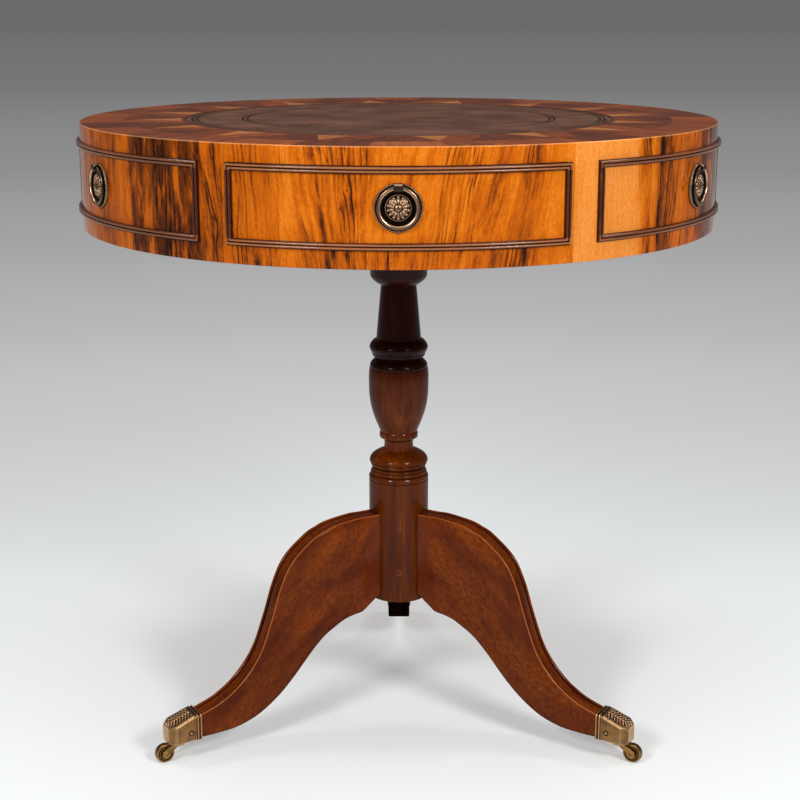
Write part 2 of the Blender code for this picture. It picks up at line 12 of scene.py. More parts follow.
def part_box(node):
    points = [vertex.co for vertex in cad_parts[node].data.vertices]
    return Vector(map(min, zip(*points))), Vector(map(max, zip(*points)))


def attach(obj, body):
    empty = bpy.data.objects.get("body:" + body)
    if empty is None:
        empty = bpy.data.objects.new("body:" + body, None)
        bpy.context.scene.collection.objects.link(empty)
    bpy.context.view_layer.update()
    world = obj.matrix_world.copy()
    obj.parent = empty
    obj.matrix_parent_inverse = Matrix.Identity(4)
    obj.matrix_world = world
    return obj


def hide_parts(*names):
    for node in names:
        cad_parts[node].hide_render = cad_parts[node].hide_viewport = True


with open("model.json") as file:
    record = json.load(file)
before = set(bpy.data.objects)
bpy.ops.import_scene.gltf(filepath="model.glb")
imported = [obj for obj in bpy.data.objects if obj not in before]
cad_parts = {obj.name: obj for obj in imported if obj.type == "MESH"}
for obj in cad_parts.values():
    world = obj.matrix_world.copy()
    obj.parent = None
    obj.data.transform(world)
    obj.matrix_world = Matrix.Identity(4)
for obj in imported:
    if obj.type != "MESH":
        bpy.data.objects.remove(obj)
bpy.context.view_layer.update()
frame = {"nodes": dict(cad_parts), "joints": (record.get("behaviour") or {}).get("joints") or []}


# The column is one baluster of mahogany, turned in beads, fillets and a vase and then French
# polished. The plain pin on its shoulder goes up into the drum, which turns on it.
MM = 0.001
JOINT_GAP = 0.3 * MM
COLUMN_STEPS = 96
SHARP_EDGE = math.radians(32)
FOOT_ROUND = 2.5
COLLAR_RADIUS = 34.6
PIN_RADIUS = 14.0
column_low, column_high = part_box("column")
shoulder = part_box("bearer")[0].z - JOINT_GAP
column_radius = column_high.x


def meshed(shape, name):
    """A mesh from a bmesh, with outward faces, smooth but for its sharp edges."""
    bmesh.ops.remove_doubles(shape, verts=shape.verts, dist=1e-6)
    bmesh.ops.recalc_face_normals(shape, faces=shape.faces)
    mesh = bpy.data.meshes.new(name)
    shape.to_mesh(mesh)
    shape.free()
    mesh.shade_smooth()
    mesh.set_sharp_from_angle(angle=SHARP_EDGE)
    return mesh


def turned(shape, profile, steps, place=Matrix()):
    """Lathe work about Z, from (radius, height) points, added to a bmesh and then placed."""
    already = set(shape.verts)
    verts = [shape.verts.new((radius, 0, height)) for radius, height in profile]
    edges = [shape.edges.new(pair) for pair in zip(verts, verts[1:])]
    bmesh.ops.spin(
        shape, geom=verts + edges, axis=(0, 0, 1), cent=(0, 0, 0), angle=math.tau, steps=steps, use_merge=True
    )
    for vert in set(shape.verts) - already:
        vert.co = place @ vert.co


def moulded(start, elements):
    """Profile points in metres through turned elements: end radius, rise and swell, in millimetres."""
    radius, height = start
    points = [(radius * MM, height * MM)]
    for end, rise, swell in elements:
        steps = max(4, round(rise / 2)) if swell else 1
        for i in range(1, steps + 1):
            share = i / steps
            across = radius + (end - radius) * share + swell * math.sin(math.pi * share)
            points.append((across * MM, (height + rise * share) * MM))
        radius, height = end, height + rise
    return points


def fitted(name, mesh, finish, body, stands_for=(), turn=0.0):
    """The mesh as a piece that moves with a body, turned about the table's axis."""
    if not mesh.materials:
        mesh.materials.append(finish)
    piece = bpy.data.objects.new(name, mesh)
    bpy.context.scene.collection.objects.link(piece)
    piece.rotation_euler = (0, 0, turn)
    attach(piece, body)
    if stands_for:
        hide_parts(*stands_for)
    return piece


def linear(code):
    """An sRGB hex colour as linear RGBA."""
    channels = [int(code[i:i + 2], 16) / 255 for i in (1, 3, 5)]
    return (*[c / 12.92 if c <= 0.04045 else ((c + 0.055) / 1.055) ** 2.4 for c in channels], 1.0)


def per_mm(*sizes):
    """Pattern repeats per metre for sizes in millimetres."""
    return tuple(1000 / size for size in sizes)


def add(tree, kind, inputs=None, out=None, stops=None, between="LINEAR", **settings):
    """Adds a shader node with its settings, ramp stops and input values or links; gives an output."""
    made = tree.nodes.new("ShaderNode" + kind)
    for key, value in settings.items():
        setattr(made, key, value)
    if stops:
        made.color_ramp.interpolation = between
        while len(made.color_ramp.elements) < len(stops):
            made.color_ramp.elements.new(1.0)
        for element, (position, code) in zip(made.color_ramp.elements, stops):
            element.position = position
            element.color = linear(code) if isinstance(code, str) else (code, code, code, 1.0)
    for key, value in (inputs or {}).items():
        named = [s for s in made.inputs if s.enabled and s.name == key]
        socket = named[0] if named else made.inputs[key]
        if isinstance(value, bpy.types.NodeSocket):
            tree.links.new(value, socket)
        else:
            socket.default_value = value
    return made.outputs[out] if out else next(s for s in made.outputs if s.enabled)


def ranged(tree, value, low, high, start=0.0, end=1.0, **settings):
    """A value carried from the range low to high over to start to end, and held there."""
    limits = {"From Min": low, "From Max": high, "To Min": start, "To Max": end}
    return add(tree, "MapRange", {"Value": value, **limits}, **settings)


def tinted(tree, colour, share, code):
    """A colour mixed by a share with a hex colour."""
    return add(tree, "Mix", {"Factor": share, "A": colour, "B": linear(code)}, data_type="RGBA")


def noise(tree, spot, sizes, detail, **inputs):
    """Noise with lumps of the given sizes along the axes, in millimetres."""
    scaled = add(tree, "VectorMath", {0: spot, 1: per_mm(*sizes)}, operation="MULTIPLY")
    return add(tree, "TexNoise", {"Vector": scaled, "Scale": 1.0, "Detail": detail, **inputs})


def new_finish(name):
    """A new material with its node tree and its shader."""
    finish = bpy.data.materials.new(name)
    finish.use_nodes = True
    return finish, finish.node_tree, finish.node_tree.nodes["Principled BSDF"]


def surfaced(tree, shader, colour, relief, depth, roughness, **constants):
    """Joins a colour and a relief, which gives bump and roughness, to a shader with fixed values."""
    tree.links.new(colour, shader.inputs["Base Color"])
    rough = ranged(tree, relief, 0.0, 1.0, roughness[0], roughness[1])
    tree.links.new(rough, shader.inputs["Roughness"])
    bump = add(tree, "Bump", {"Height": relief, "Distance": depth, "Strength": 0.6})
    tree.links.new(bump, shader.inputs["Normal"])
    for key, value in constants.items():
        shader.inputs[key.replace("_", " ")].default_value = value


def grimed_and_shaded(tree, colour, reach, grime_and_shade):
    """The colour darkened in hollows up to a reach in millimetres: old polish and dust, and painted shade."""
    # Ambient occlusion darkens grooves and recesses: painted shade, together with old polish and dust
    open_sky = add(tree, "AmbientOcclusion", {"Distance": reach * MM}, out="AO", samples=6, only_local=True)
    hollow_dark = ranged(tree, open_sky, 0.85, 0.35, 0.0, 0.85)
    return tinted(tree, colour, hollow_dark, grime_and_shade)


def long_grain(tree, spot, fibre, figure, tones):
    """Colour and fibre of wood cut along its grain, from streak sizes in millimetres."""
    streak = noise(tree, spot, fibre, 3.0, Roughness=0.6)
    band = noise(tree, spot, figure, 2.0, Distortion=0.7)
    both = add(tree, "Mix", {"Factor": 0.42, "A": band, "B": streak})
    return add(tree, "ValToRGB", {"Fac": both}, stops=tones), streak


# Each element above the last: end radius, rise, how far its middle swells, all in millimetres
turning = [
    (36.7, 149.6, 0.0), (35.9, 0.6, 0.0), (35.6, 6.2, 1.2), (33.8, 0.7, 0.0), (33.9, 4.6, 1.0),
    (32.6, 0.7, 0.0), (32.4, 2.9, 0.7), (30.8, 0.8, 0.0), (34.4, 5.2, 1.8), (34.0, 0.5, 0.0),
    (36.2, 1.5, 0.5), (18.6, 15.4, 5.0), (18.0, 2.0, -0.5), (17.9, 8.0, -0.3), (19.3, 2.6, -0.4),
    (23.2, 1.9, 0.0), (23.2, 6.6, 0.5), (22.5, 1.2, 0.0), (36.6, 63.1, 4.3), (35.6, 17.0, 0.5),
    (34.9, 0.5, 0.0), (35.1, 0.5, 0.0), (28.4, 10.6, 2.4), (32.2, 4.6, 0.3), (32.6, 2.8, 0.2),
    (31.0, 15.0, 3.8), (27.2, 2.6, -0.3), (21.5, 65.2, 0.0), (34.5, 12.2, 2.4),
]
foot = column_low.z / MM
plain = column_radius / MM
profile = [(0, column_low.z), ((plain - FOOT_ROUND) * MM, column_low.z)]
profile.append(((plain - FOOT_ROUND * 0.3) * MM, (foot + FOOT_ROUND * 0.3) * MM))
profile += moulded((plain, foot + FOOT_ROUND), turning)
profile += [(COLLAR_RADIUS * MM, shoulder), (PIN_RADIUS * MM, shoulder)]
profile += [(PIN_RADIUS * MM, column_high.z), (0, column_high.z)]
shape = bmesh.new()
turned(shape, profile, COLUMN_STEPS)
column_mesh = meshed(shape, "column_turned")

# Old mahogany, turned and French polished: dark red-brown with long fine streaks under a clear
# gloss, painted near black towards the top as painted shade from the drum above it.
turned_mahogany, tree, shader = new_finish("french_polished_turned_mahogany")
spot = add(tree, "TexCoord", out="Object")
# Pores are about 0.3 mm wide, drawn 1.2 mm so that they show
colour, fibre = long_grain(
    tree, spot, (1.2, 1.2, 30), (13, 13, 90),
    [(0.28, "#381302"), (0.46, "#4a1c02"), (0.58, "#5a2602"), (0.74, "#7e3e04")],
)
height = add(tree, "SeparateXYZ", {"Vector": spot}, out="Z")
# By height in metres, painted shade from the drum: clear up to the top of the vase, darkest on the rings above
painted_drum_shade_stops = [
    (0.428, "#ffffff"), (0.445, "#d4c0b4"), (0.447, "#6a5046"), (0.478, "#6a5046"), (0.486, "#8c6d5e"),
]
painted_drum_shade = add(tree, "ValToRGB", {"Fac": height}, stops=painted_drum_shade_stops)
colour = add(tree, "Mix", {"Factor": 1.0, "A": colour, "B": painted_drum_shade}, data_type="RGBA", blend_type="MULTIPLY")
# The column's grooves are darkened by old polish and painted shade
colour = grimed_and_shaded(tree, colour, 4, "#120604")
surfaced(
    tree, shader, colour, fibre, 0.03 * MM, (0.34, 0.46),
    Specular_IOR_Level=0.04, Coat_Weight=0.18, Coat_Roughness=0.06,
)
fitted("column_turned", column_mesh, turned_mahogany, "base", ["column"])


# The bearer is a thick round block of mahogany on the column's shoulder, with its lower edge
# rounded over. It is glued there and spreads the drum's weight.
bearer_low, bearer_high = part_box("bearer")
EDGE_OVER = 6 * MM
reach = bearer_high.x
bore = PIN_RADIUS * MM + JOINT_GAP
rounded = []
for i in range(7):
    turn = math.radians(-90 + 15 * i)
    rounded.append((
        reach - EDGE_OVER + EDGE_OVER * math.cos(turn), bearer_low.z + EDGE_OVER + EDGE_OVER * math.sin(turn)
    ))
profile = [(bore, bearer_low.z), *rounded, (reach, bearer_high.z), (bore, bearer_high.z), (bore, bearer_low.z)]
shape = bmesh.new()
turned(shape, profile, COLUMN_STEPS)
fitted("bearer_block", meshed(shape, "bearer_block"), turned_mahogany, "base", ["bearer"])


# Three legs, each sawn from one mahogany plank to a hipped curve. A scratched bead runs along
# each edge of the top, with a flat between, and the root is scribed to the column.
# The turns of pieces that are drawn along +X
LEG_TURNS = {"left": math.radians(-150), "right": math.radians(-30), "rear": math.radians(90)}
LEG_HALF = 14.5 * MM
LEG_END_HEIGHT = 28.5 * MM
LEG_ROOT = 160.7 * MM
LEG_STEPS = 6
BEAD = 2.6 * MM
QUIRK = 3.4 * MM
QUIRK_WIDTH = 2.0 * MM
FLAT_DROP = 1.8 * MM
FLAT_CROWN = 1.2 * MM
UNDER_ROUND = 1.5 * MM
leg_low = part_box("rear_leg")[0].z
leg_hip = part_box("rear_leg")[1].z
cap_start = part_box("rear_cap")[0].y
leg_reach = cap_start - JOINT_GAP - column_radius

# Shares of the reach from the column and of the rise from the toe, for the top and the under edge
top_edge = [
    (0.0, 1.0), (0.062, 1.0), (0.124, 1.0), (0.247, 0.981), (0.309, 0.957), (0.371, 0.922), (0.487, 0.809),
    (0.553, 0.666), (0.608, 0.476), (0.675, 0.285), (0.775, 0.140), (0.885, 0.050), (1.0, 0.0),
]
under_edge = [
    (0.0, 1.0), (0.094, 0.870), (0.185, 0.838), (0.250, 0.782), (0.318, 0.705), (0.375, 0.610), (0.425, 0.512),
    (0.497, 0.366), (0.583, 0.220), (0.690, 0.090), (0.800, 0.022), (0.900, 0.004), (1.0, 0.0),
]


def smooth_through(points, steps):
    """Points along a smooth curve that passes through the given ones."""
    ends = [points[0] * 2 - points[1], *points, points[-1] * 2 - points[-2]]
    curve = []
    for a, b, c, d in zip(ends, ends[1:], ends[2:], ends[3:]):
        for i in range(steps):
            t = i / steps
            curve.append(0.5 * (
                2 * b + (c - a) * t + (2 * a - 5 * b + 4 * c - d) * t**2 + (3 * b - a - 3 * c + d) * t**3
            ))
    return [*curve, points[-1]]


def lofted(shape, sections, ring=False):
    """Faces through closed sections of equal length, capped unless they run round in a ring."""
    rows = [[shape.verts.new(point) for point in section] for section in sections]
    pairs = list(zip(rows, rows[1:] + rows[:1] if ring else rows[1:]))
    for here, there in pairs:
        for i in range(len(here)):
            j = (i + 1) % len(here)
            shape.faces.new((here[i], here[j], there[j], there[i]))
    if not ring:
        shape.faces.new(rows[0])
        shape.faces.new(rows[-1])


def maths(tree, operation, *values):
    """A Math node on values or links."""
    return add(tree, "Math", dict(enumerate(values)), operation=operation)


def sized(edge, low, high):
    return [Vector((leg_reach * along, low + (high - low) * rise)) for along, rise in edge]


tops = smooth_through(sized(top_edge, leg_low + LEG_END_HEIGHT, leg_hip), LEG_STEPS)
root, *rest = sized(under_edge, leg_low, LEG_ROOT)
unders = [root.lerp(rest[0], i / LEG_STEPS) for i in range(LEG_STEPS)] + smooth_through(rest, LEG_STEPS)
upright = Vector((0, -1))
inwards = [upright]
for before, after in zip(tops, tops[2:]):
    along = after - before
    inwards.append(Vector((along.y, -along.x)).normalized())
inwards.append(upright)

# Across the top from one side: the bead's round, the quirk beside it, then the crowned flat. Each
# point has how far it is rubbed pale and given a painted highlight (up to 1), or sunk in the quirk
# under old polish and painted shade (down to -1).
across = []
rubbed = []
for degrees in range(0, 151, 25):
    turn = math.radians(degrees)
    across.append((-LEG_HALF + BEAD * (1 - math.cos(turn)), BEAD * (1 - math.sin(turn))))
    rubbed.append(max(0.0, 1 - abs(degrees - 75) / 50))
quirk_start = -LEG_HALF + 2 * BEAD
across += [(quirk_start, QUIRK), (quirk_start + QUIRK_WIDTH * 0.7, QUIRK), (quirk_start + QUIRK_WIDTH, FLAT_DROP)]
across.append((-LEG_HALF / 3, FLAT_CROWN))
rubbed += [-1.0, -1.0, 0.0, 0.0]
across += [(-x, drop) for x, drop in reversed(across)]
rubbed += reversed(rubbed)
beneath = [(LEG_HALF, UNDER_ROUND), (LEG_HALF - UNDER_ROUND * 0.3, UNDER_ROUND * 0.3), (LEG_HALF - UNDER_ROUND, 0)]
beneath += [(-x, lift) for x, lift in reversed(beneath)]
rubbed += [0.0] * len(beneath)
sections = []
for index, (top, under, inward) in enumerate(zip(tops, unders, inwards)):
    points = [(x, top + inward * drop) for x, drop in across]
    points += [(x, under + Vector((0, lift))) for x, lift in beneath]
    section = []
    for x, point in points:
        scribed = math.sqrt((column_radius + JOINT_GAP) ** 2 - x**2)
        section.append((scribed if index == 0 else column_radius + point.x, x, point.y))
    sections.append(section)
shape = bmesh.new()
lofted(shape, sections)
wear_and_light_layer = shape.verts.layers.float.new("rubbed")
for number, vert in enumerate(shape.verts):
    vert[wear_and_light_layer] = rubbed[number % len(rubbed)]
leg_mesh = meshed(shape, "leg_reeded")

# Plum-pudding mahogany, French polished: dark red-brown with small golden mottles and short
# flecks that run with the plank from hip to toe, and a redder strip of long grain at the root.
leg_mahogany, tree, shader = new_finish("french_polished_mottled_mahogany")
spot = add(tree, "TexCoord", out="Object")
GRAIN_FALL = math.radians(41)
plank = add(tree, "VectorRotate", {"Vector": spot, "Angle": -GRAIN_FALL}, rotation_type="Y_AXIS")
colour, fibre = long_grain(
    tree, plank, (6, 1.4, 1.4), (70, 22, 22),
    [(0.30, "#3c1101"), (0.46, "#501a01"), (0.58, "#602301"), (0.74, "#793503")],
)
fleck = noise(tree, plank, (7, 3.6, 3.6), 5.0, Roughness=0.72)
patch = noise(tree, plank, (75, 34, 34), 3.0)
patch = ranged(tree, patch, 0.38, 0.62)
dark = ranged(tree, fleck, 0.50, 0.34, 0.0, 0.3)
colour = tinted(tree, colour, dark, "#3a1202")
gold = ranged(tree, fleck, 0.42, 0.70, 0.12, 0.7)
gold = maths(tree, "MULTIPLY", gold, patch)
colour = tinted(tree, colour, gold, "#934706")
ROOT_STRIP = 15 * MM
along = add(tree, "SeparateXYZ", {"Vector": spot}, out="X")
strip = maths(tree, "LESS_THAN", along, column_radius + ROOT_STRIP)
strip = maths(tree, "MULTIPLY", strip, 0.55)
colour = tinted(tree, colour, strip, "#5e2413")
# Along the joint with the column: old polish, and the shadow gap painted in as painted shade
JOINT_SHADE_REACH = 3 * MM
joint_at = math.sqrt(column_radius**2 - LEG_HALF**2)
joint_polish_and_shade = ranged(tree, along, joint_at + JOINT_SHADE_REACH, joint_at, 0.0, 0.85)
colour = tinted(tree, colour, joint_polish_and_shade, "#1a0702")
# The beads are rubbed paler and carry a painted highlight along their crowns, and the quirks hold old
# polish and painted shade
wear_and_light = add(tree, "Attribute", out="Fac", attribute_name="rubbed")
rub_and_highlight = ranged(tree, wear_and_light, 0.25, 0.95, 0.0, 0.75)
colour = tinted(tree, colour, rub_and_highlight, "#b8693a")
sunk = ranged(tree, wear_and_light, -0.15, -0.7, 0.0, 0.9)
colour = tinted(tree, colour, sunk, "#1a0702")
# Hollows darkened by old polish and painted shade
colour = grimed_and_shaded(tree, colour, 4, "#170702")
surfaced(
    tree, shader, colour, fibre, 0.03 * MM, (0.36, 0.5),
    Specular_IOR_Level=0.03, Coat_Weight=0.15, Coat_Roughness=0.1,
)
# Its underside was never polished: dry, matt and dark with old grime, and painted near black as painted
# shade where the faces look down
raw_mahogany, tree, shader = new_finish("unpolished_mahogany_painted_shade")
spot = add(tree, "TexCoord", out="Object")
colour, fibre = long_grain(
    tree, spot, (14, 1.6, 14), (40, 9, 40), [(0.32, "#060303"), (0.5, "#0e0605"), (0.7, "#1c0d09")]
)
surfaced(tree, shader, colour, fibre, 0.1 * MM, (0.85, 0.95), Specular_IOR_Level=0.0)
leg_mesh.materials.append(leg_mahogany)
leg_mesh.materials.append(raw_mahogany)
# Faces that look down take the underside's finish, painted shade included
for face in leg_mesh.polygons:
    if face.normal.z < -0.3:
        face.material_index = 1
for side, turn in LEG_TURNS.items():
    fitted(f"{side}_leg_reeded", leg_mesh, leg_mahogany, "base", [f"{side}_leg"], turn)


# Six pellets: short plugs of mahogany, cut across the grain, that close the counterbored holes of
# the screws which hold each leg through the column. They sit on the side away from the leg.
PELLET_RADIUS = 4.3
PELLET_PROUD = 0.35
PELLET_HEIGHTS = (251 * MM, 192 * MM)
shape = bmesh.new()
profile = moulded((0.0, -2.0), [(PELLET_RADIUS, 0.0, 0.0), (PELLET_RADIUS, 1.7, 0.0)])
profile += moulded((PELLET_RADIUS, -0.3), [(PELLET_RADIUS - 0.4, 0.5, 0.0), (0.0, PELLET_PROUD - 0.2, 0.05)])
for pellet_height in PELLET_HEIGHTS:
    outward = Matrix.Translation((-column_radius, 0, pellet_height)) @ Matrix.Rotation(math.radians(-90), 4, "Y")
    turned(shape, profile, 24, outward)
pellet_mesh = meshed(shape, "leg_pellets")

# End grain of mahogany: duller and a little paler than the polish round it, finely speckled.
end_grain, tree, shader = new_finish("mahogany_end_grain")
spot = add(tree, "TexCoord", out="Object")
colour, fibre = long_grain(
    tree, spot, (0.9, 0.9, 0.9), (4, 4, 4), [(0.35, "#3c180a"), (0.5, "#5c2c14"), (0.65, "#7c4822")]
)
# Hollows of the pellets darkened by old polish and painted shade
colour = grimed_and_shaded(tree, colour, 1.5, "#0e0402")
surfaced(tree, shader, colour, fibre, 0.08 * MM, (0.34, 0.5), Specular_IOR_Level=0.1)
for side, turn in LEG_TURNS.items():
    fitted(f"{side}_leg_pellets", pellet_mesh, end_grain, "base", (), turn)


# Three cast brass toe caps, slid over the legs' ends and pinned from each side. A collar of two
# ribs, plain cheeks, a leaf in low relief on the falling top, and a nose with bevelled corners.
CAP_RIB = 0.9 * MM
CAP_RIB_WIDTH = 2.0 * MM
CAP_COLLAR = 9.0 * MM
CAP_FALL = 12.5 * MM
CAP_NOSE = 8.0 * MM
CAP_NOSE_TAPER = 8.0 * MM
CAP_EDGE = 3.0 * MM
CAP_LAND = 0.8 * MM
LEAF_DEPTH = 1.4 * MM
LEAF_HALF = 14.8 * MM
LEAF_ROWS = 80
LEAF_COLUMNS = 56
CAP_PIN_RADIUS = 2.0
CAP_PIN_SEAT = 3.5
cap_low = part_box("rear_cap")[0].z
cap_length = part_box("rear_cap")[1].y - cap_start
cap_half = LEG_HALF + 1.3 * MM
cap_high = leg_low + LEG_END_HEIGHT + 1.3 * MM
under_edge_round = 0.8 * MM


def cap_section(reach, grow, fall=0.0, taper=0.0):
    """A section across the cap, grown for a rib, lowered down the top and drawn in at the nose."""
    wide, top, under = cap_half + grow - taper, cap_high + grow - fall, cap_low + CAP_RIB - grow
    half = [(wide - CAP_EDGE - CAP_LAND, top), (wide - CAP_EDGE, top)]
    for degrees in (30, 60):
        turn = math.radians(degrees)
        half.append((wide - CAP_EDGE * (1 - math.sin(turn)), top - CAP_EDGE * (1 - math.cos(turn))))
    half += [(wide, top - CAP_EDGE), (wide, top - CAP_EDGE - CAP_LAND), (wide, under + under_edge_round + CAP_LAND)]
    half += [(wide, under + under_edge_round), (wide - under_edge_round, under)]
    outline = half + [(-x, z) for x, z in reversed(half)]
    return [(cap_start + reach, x, z) for x, z in outline]


def leaf_relief(along, aside):
    """Height of the leaf from 0 to 1: a mid rib and rows of curled lobes that sweep out from it."""
    out = abs(aside)
    width = 0.88 + 0.12 * math.cos(math.tau * 8 * along)
    inside = max(0.0, min(1.0, (width - out) / 0.10))
    sweep = 8.0 * along - 1.9 * out
    lobe = (0.5 + 0.5 * math.cos(math.tau * sweep)) ** 0.7
    curl = abs(math.sin(math.pi * (3.1 * out + 0.4 * lobe)))
    rib = math.exp(-(aside / 0.08) ** 2)
    return inside * min(1.0, 0.16 + 0.84 * lobe * (0.40 + 0.60 * curl) + 0.6 * rib)


def cap_top(reach):
    share = (reach - CAP_COLLAR) / (cap_length - CAP_COLLAR)
    return cap_high + CAP_RIB * min(1.0, share * 1.2) - CAP_FALL * share


shape = bmesh.new()
crest_layer = shape.verts.layers.float.new("crest")
sections = []
for start in (0.0, 2 * CAP_RIB_WIDTH):
    for degrees in range(0, 181, 30):
        turn = math.radians(degrees)
        sections.append(cap_section(start + CAP_RIB_WIDTH * (1 - math.cos(turn)) / 2, CAP_RIB * math.sin(turn)))
    sections.append(cap_section(start + CAP_RIB_WIDTH + 0.7 * MM, 0.0))
sections.append(cap_section(CAP_COLLAR - 0.4 * MM, 0.1 * MM))
sections.append(cap_section(CAP_COLLAR, -0.3 * MM))
sections.append(cap_section(CAP_COLLAR + 0.4 * MM, 0.0))
# Falling body, then the bevelled nose: reach before the end, growth and taper of each section
body = cap_length - CAP_COLLAR
falling = [(body - 1.2 * MM, 0.03, 0.0), (CAP_NOSE + CAP_LAND, 0.96, 0.0), (CAP_NOSE, 1.0, 0.0)]
falling += [(CAP_NOSE - CAP_LAND, 1.0, 0.075), (CAP_NOSE * 0.5, 1.0, 0.42), (CAP_LAND, 1.0, 0.88), (0.0, 1.0, 1.0)]
for back, grown, taper in falling:
    fall = CAP_FALL * (1 - back / body)
    sections.append(cap_section(cap_length - back, CAP_RIB * grown, fall, CAP_NOSE_TAPER * taper))
lofted(shape, sections)

# The leaf is a thin slab bedded in the sloping top, its upper face drawn by the relief. Its points
# keep how far they stand above or below the middle, for the rubbed polish and the painted highlight
# on the crests to follow.
cap_points = len(shape.verts)
leaf_start, leaf_end = CAP_COLLAR + 1.5 * MM, cap_length - 0.6 * MM
rows = []
crests = []
for i in range(LEAF_ROWS + 1):
    along = i / LEAF_ROWS
    reach = leaf_start + (leaf_end - leaf_start) * along
    nose = max(0.0, 1 - (cap_length - reach) / CAP_NOSE)
    leaf_half = LEAF_HALF - CAP_NOSE_TAPER * nose
    row = []
    for j in range(LEAF_COLUMNS + 1):
        aside = 2 * j / LEAF_COLUMNS - 1
        relief = leaf_relief(along, aside)
        over = max(0.0, abs(aside) * leaf_half - leaf_half + CAP_EDGE - 1 * MM)
        edge = CAP_EDGE - math.sqrt(CAP_EDGE**2 - over**2)
        row.append((cap_start + reach, aside * leaf_half, cap_top(reach) - edge + LEAF_DEPTH * relief - 0.25 * MM))
        crests.append(relief - 0.4)
    rows.append(row + [(x, y, z - 1.5 * MM) for x, y, z in (row[-1], row[0])])
    crests += [0.0, 0.0]
lofted(shape, rows)
shape.verts.ensure_lookup_table()
for vert, crest in zip(shape.verts[cap_points:], crests):
    vert[crest_layer] = crest

# A domed pin in a dark countersunk seat near the collar on each cheek
pin_seat = moulded((0.0, -1.5), [(CAP_PIN_SEAT, 0.0, 0.0), (CAP_PIN_SEAT, 1.9, 0.0), (0.0, 0.0, 0.0)])
pin_head = moulded((0.0, -1.5), [(CAP_PIN_RADIUS, 0.0, 0.0), (CAP_PIN_RADIUS, 2.2, 0.0), (0.0, 0.2, 0.2)])
for sign in (-1, 1):
    spot = Matrix.Translation((cap_start + CAP_COLLAR + 5 * MM, sign * cap_half, cap_low + 11.5 * MM))
    for profile, crest in ((pin_seat, -0.6), (pin_head, -0.25)):
        before = set(shape.verts)
        turned(shape, profile, 20, spot @ Matrix.Rotation(math.radians(-90 * sign), 4, "X"))
        for vert in set(shape.verts) - before:
            vert[crest_layer] = crest
cap_mesh = meshed(shape, "toe_cap_cast")


def brass(name, hollow, ground, worn_and_highlight, roughness):
    """Old cast brass: dark in the hollows, rubbed bright on what stands proud, with cloudy tarnish; raised crests
    also take a painted highlight and some sunk ground painted shade.
    """
    finish, tree, shader = new_finish(name)
    spot = add(tree, "TexCoord", out="Object")
    edge = add(tree, "NewGeometry", out="Pointiness")
    cloud = noise(tree, spot, (9, 9, 9), 4.0, Roughness=0.6)
    tarnish = add(tree, "ValToRGB", {"Fac": cloud}, stops=[(0.36, hollow), (0.52, ground), (0.72, ground)])
    fresh = ranged(tree, edge, 0.50, 0.60)
    colour = tinted(tree, tarnish, fresh, worn_and_highlight)
    hollow_dark = ranged(tree, edge, 0.495, 0.44)
    colour = tinted(tree, colour, hollow_dark, hollow)
    # Cast relief carries its own height: crests rubbed bright and given a painted highlight, ground left dark
    # with patina and, on the ring's outer side, painted shade
    crest = add(tree, "Attribute", out="Fac", attribute_name="crest")
    rubbed_and_highlight = ranged(tree, crest, 0.02, 0.3, 0.0, 0.95)
    colour = tinted(tree, colour, rubbed_and_highlight, worn_and_highlight)
    ground_patina_and_shade = ranged(tree, crest, -0.12, -0.6, 0.0, 0.98)
    colour = tinted(tree, colour, ground_patina_and_shade, hollow)
    # Casting grit is about 0.2 mm, drawn 0.7 mm so that it shows
    grit = noise(tree, spot, (0.7, 0.7, 0.7), 2.0)
    # Hollows darkened further by patina and painted shade
    colour = grimed_and_shaded(tree, colour, 3, hollow)
    surfaced(tree, shader, colour, grit, 0.03 * MM, roughness, Metallic=1.0)
    return finish


# Antique cast brass under old lacquer: golden brown, coppery where it is rubbed and where the leaf's
# crests carry a painted highlight.
antique_brass = brass("antique_cast_brass", "#1f1307", "#714912", "#f2c596", (0.32, 0.46))
for side, turn in LEG_TURNS.items():
    fitted(f"{side}_toe_cap", cap_mesh, antique_brass, "base", [f"{side}_cap"], turn)


# Three casters: a cast brass horn that swivels on a stem in the cap, a turned brass wheel with
# ringed faces between its cheeks, and a riveted axle through them.
WHEEL_HALF = 4.2
CHEEK = 2.6 * MM
CHEEK_GAP = 0.5 * MM
NECK_DEPTH = 5.2 * MM
NECK_BACK = 8.0 * MM
BOSS_RADIUS = 5.0 * MM
STEM_RADIUS = 3.2
AXLE_RADIUS = 2.0
AXLE_HEAD = 3.0
AXLE_HEAD_RISE = 1.1
wheel_low, wheel_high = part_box("rear_wheel")
wheel_radius = wheel_high.z / 2
hub_reach = (wheel_low.y + wheel_high.y) / 2
swivel_reach = next(j["pos_m"][1] for j in frame["joints"] if j["name"] == "rear_caster_swivel")
trail = hub_reach - swivel_reach
horn_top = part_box("rear_horn")[1].z - 5.5 * MM
gap = WHEEL_HALF * MM + CHEEK_GAP


def in_metres(points):
    """Radius and height pairs in millimetres, in metres."""
    return [(radius * MM, height * MM) for radius, height in points]


shape = bmesh.new()
# Neck: a turned disc under the cap with the stem on it
neck_low, neck_high = (horn_top - NECK_DEPTH) / MM, horn_top / MM
profile = moulded((0.0, neck_low), [(NECK_BACK / MM - 1.4, 0.0, 0.0), (NECK_BACK / MM - 0.2, 2.2, 0.5)])
profile += moulded(
    (NECK_BACK / MM - 0.8, neck_low + 2.5),
    [(NECK_BACK / MM, 0.8, 0.3), (NECK_BACK / MM - 0.3, neck_high - neck_low - 3.3, 0.2), (STEM_RADIUS, 0.0, 0.0),
     (STEM_RADIUS, 5.0, 0.0), (0.0, 0.5, 0.0)],
)
horn_place = Matrix.Translation((swivel_reach, 0, 0))
turned(shape, profile, 40, horn_place)
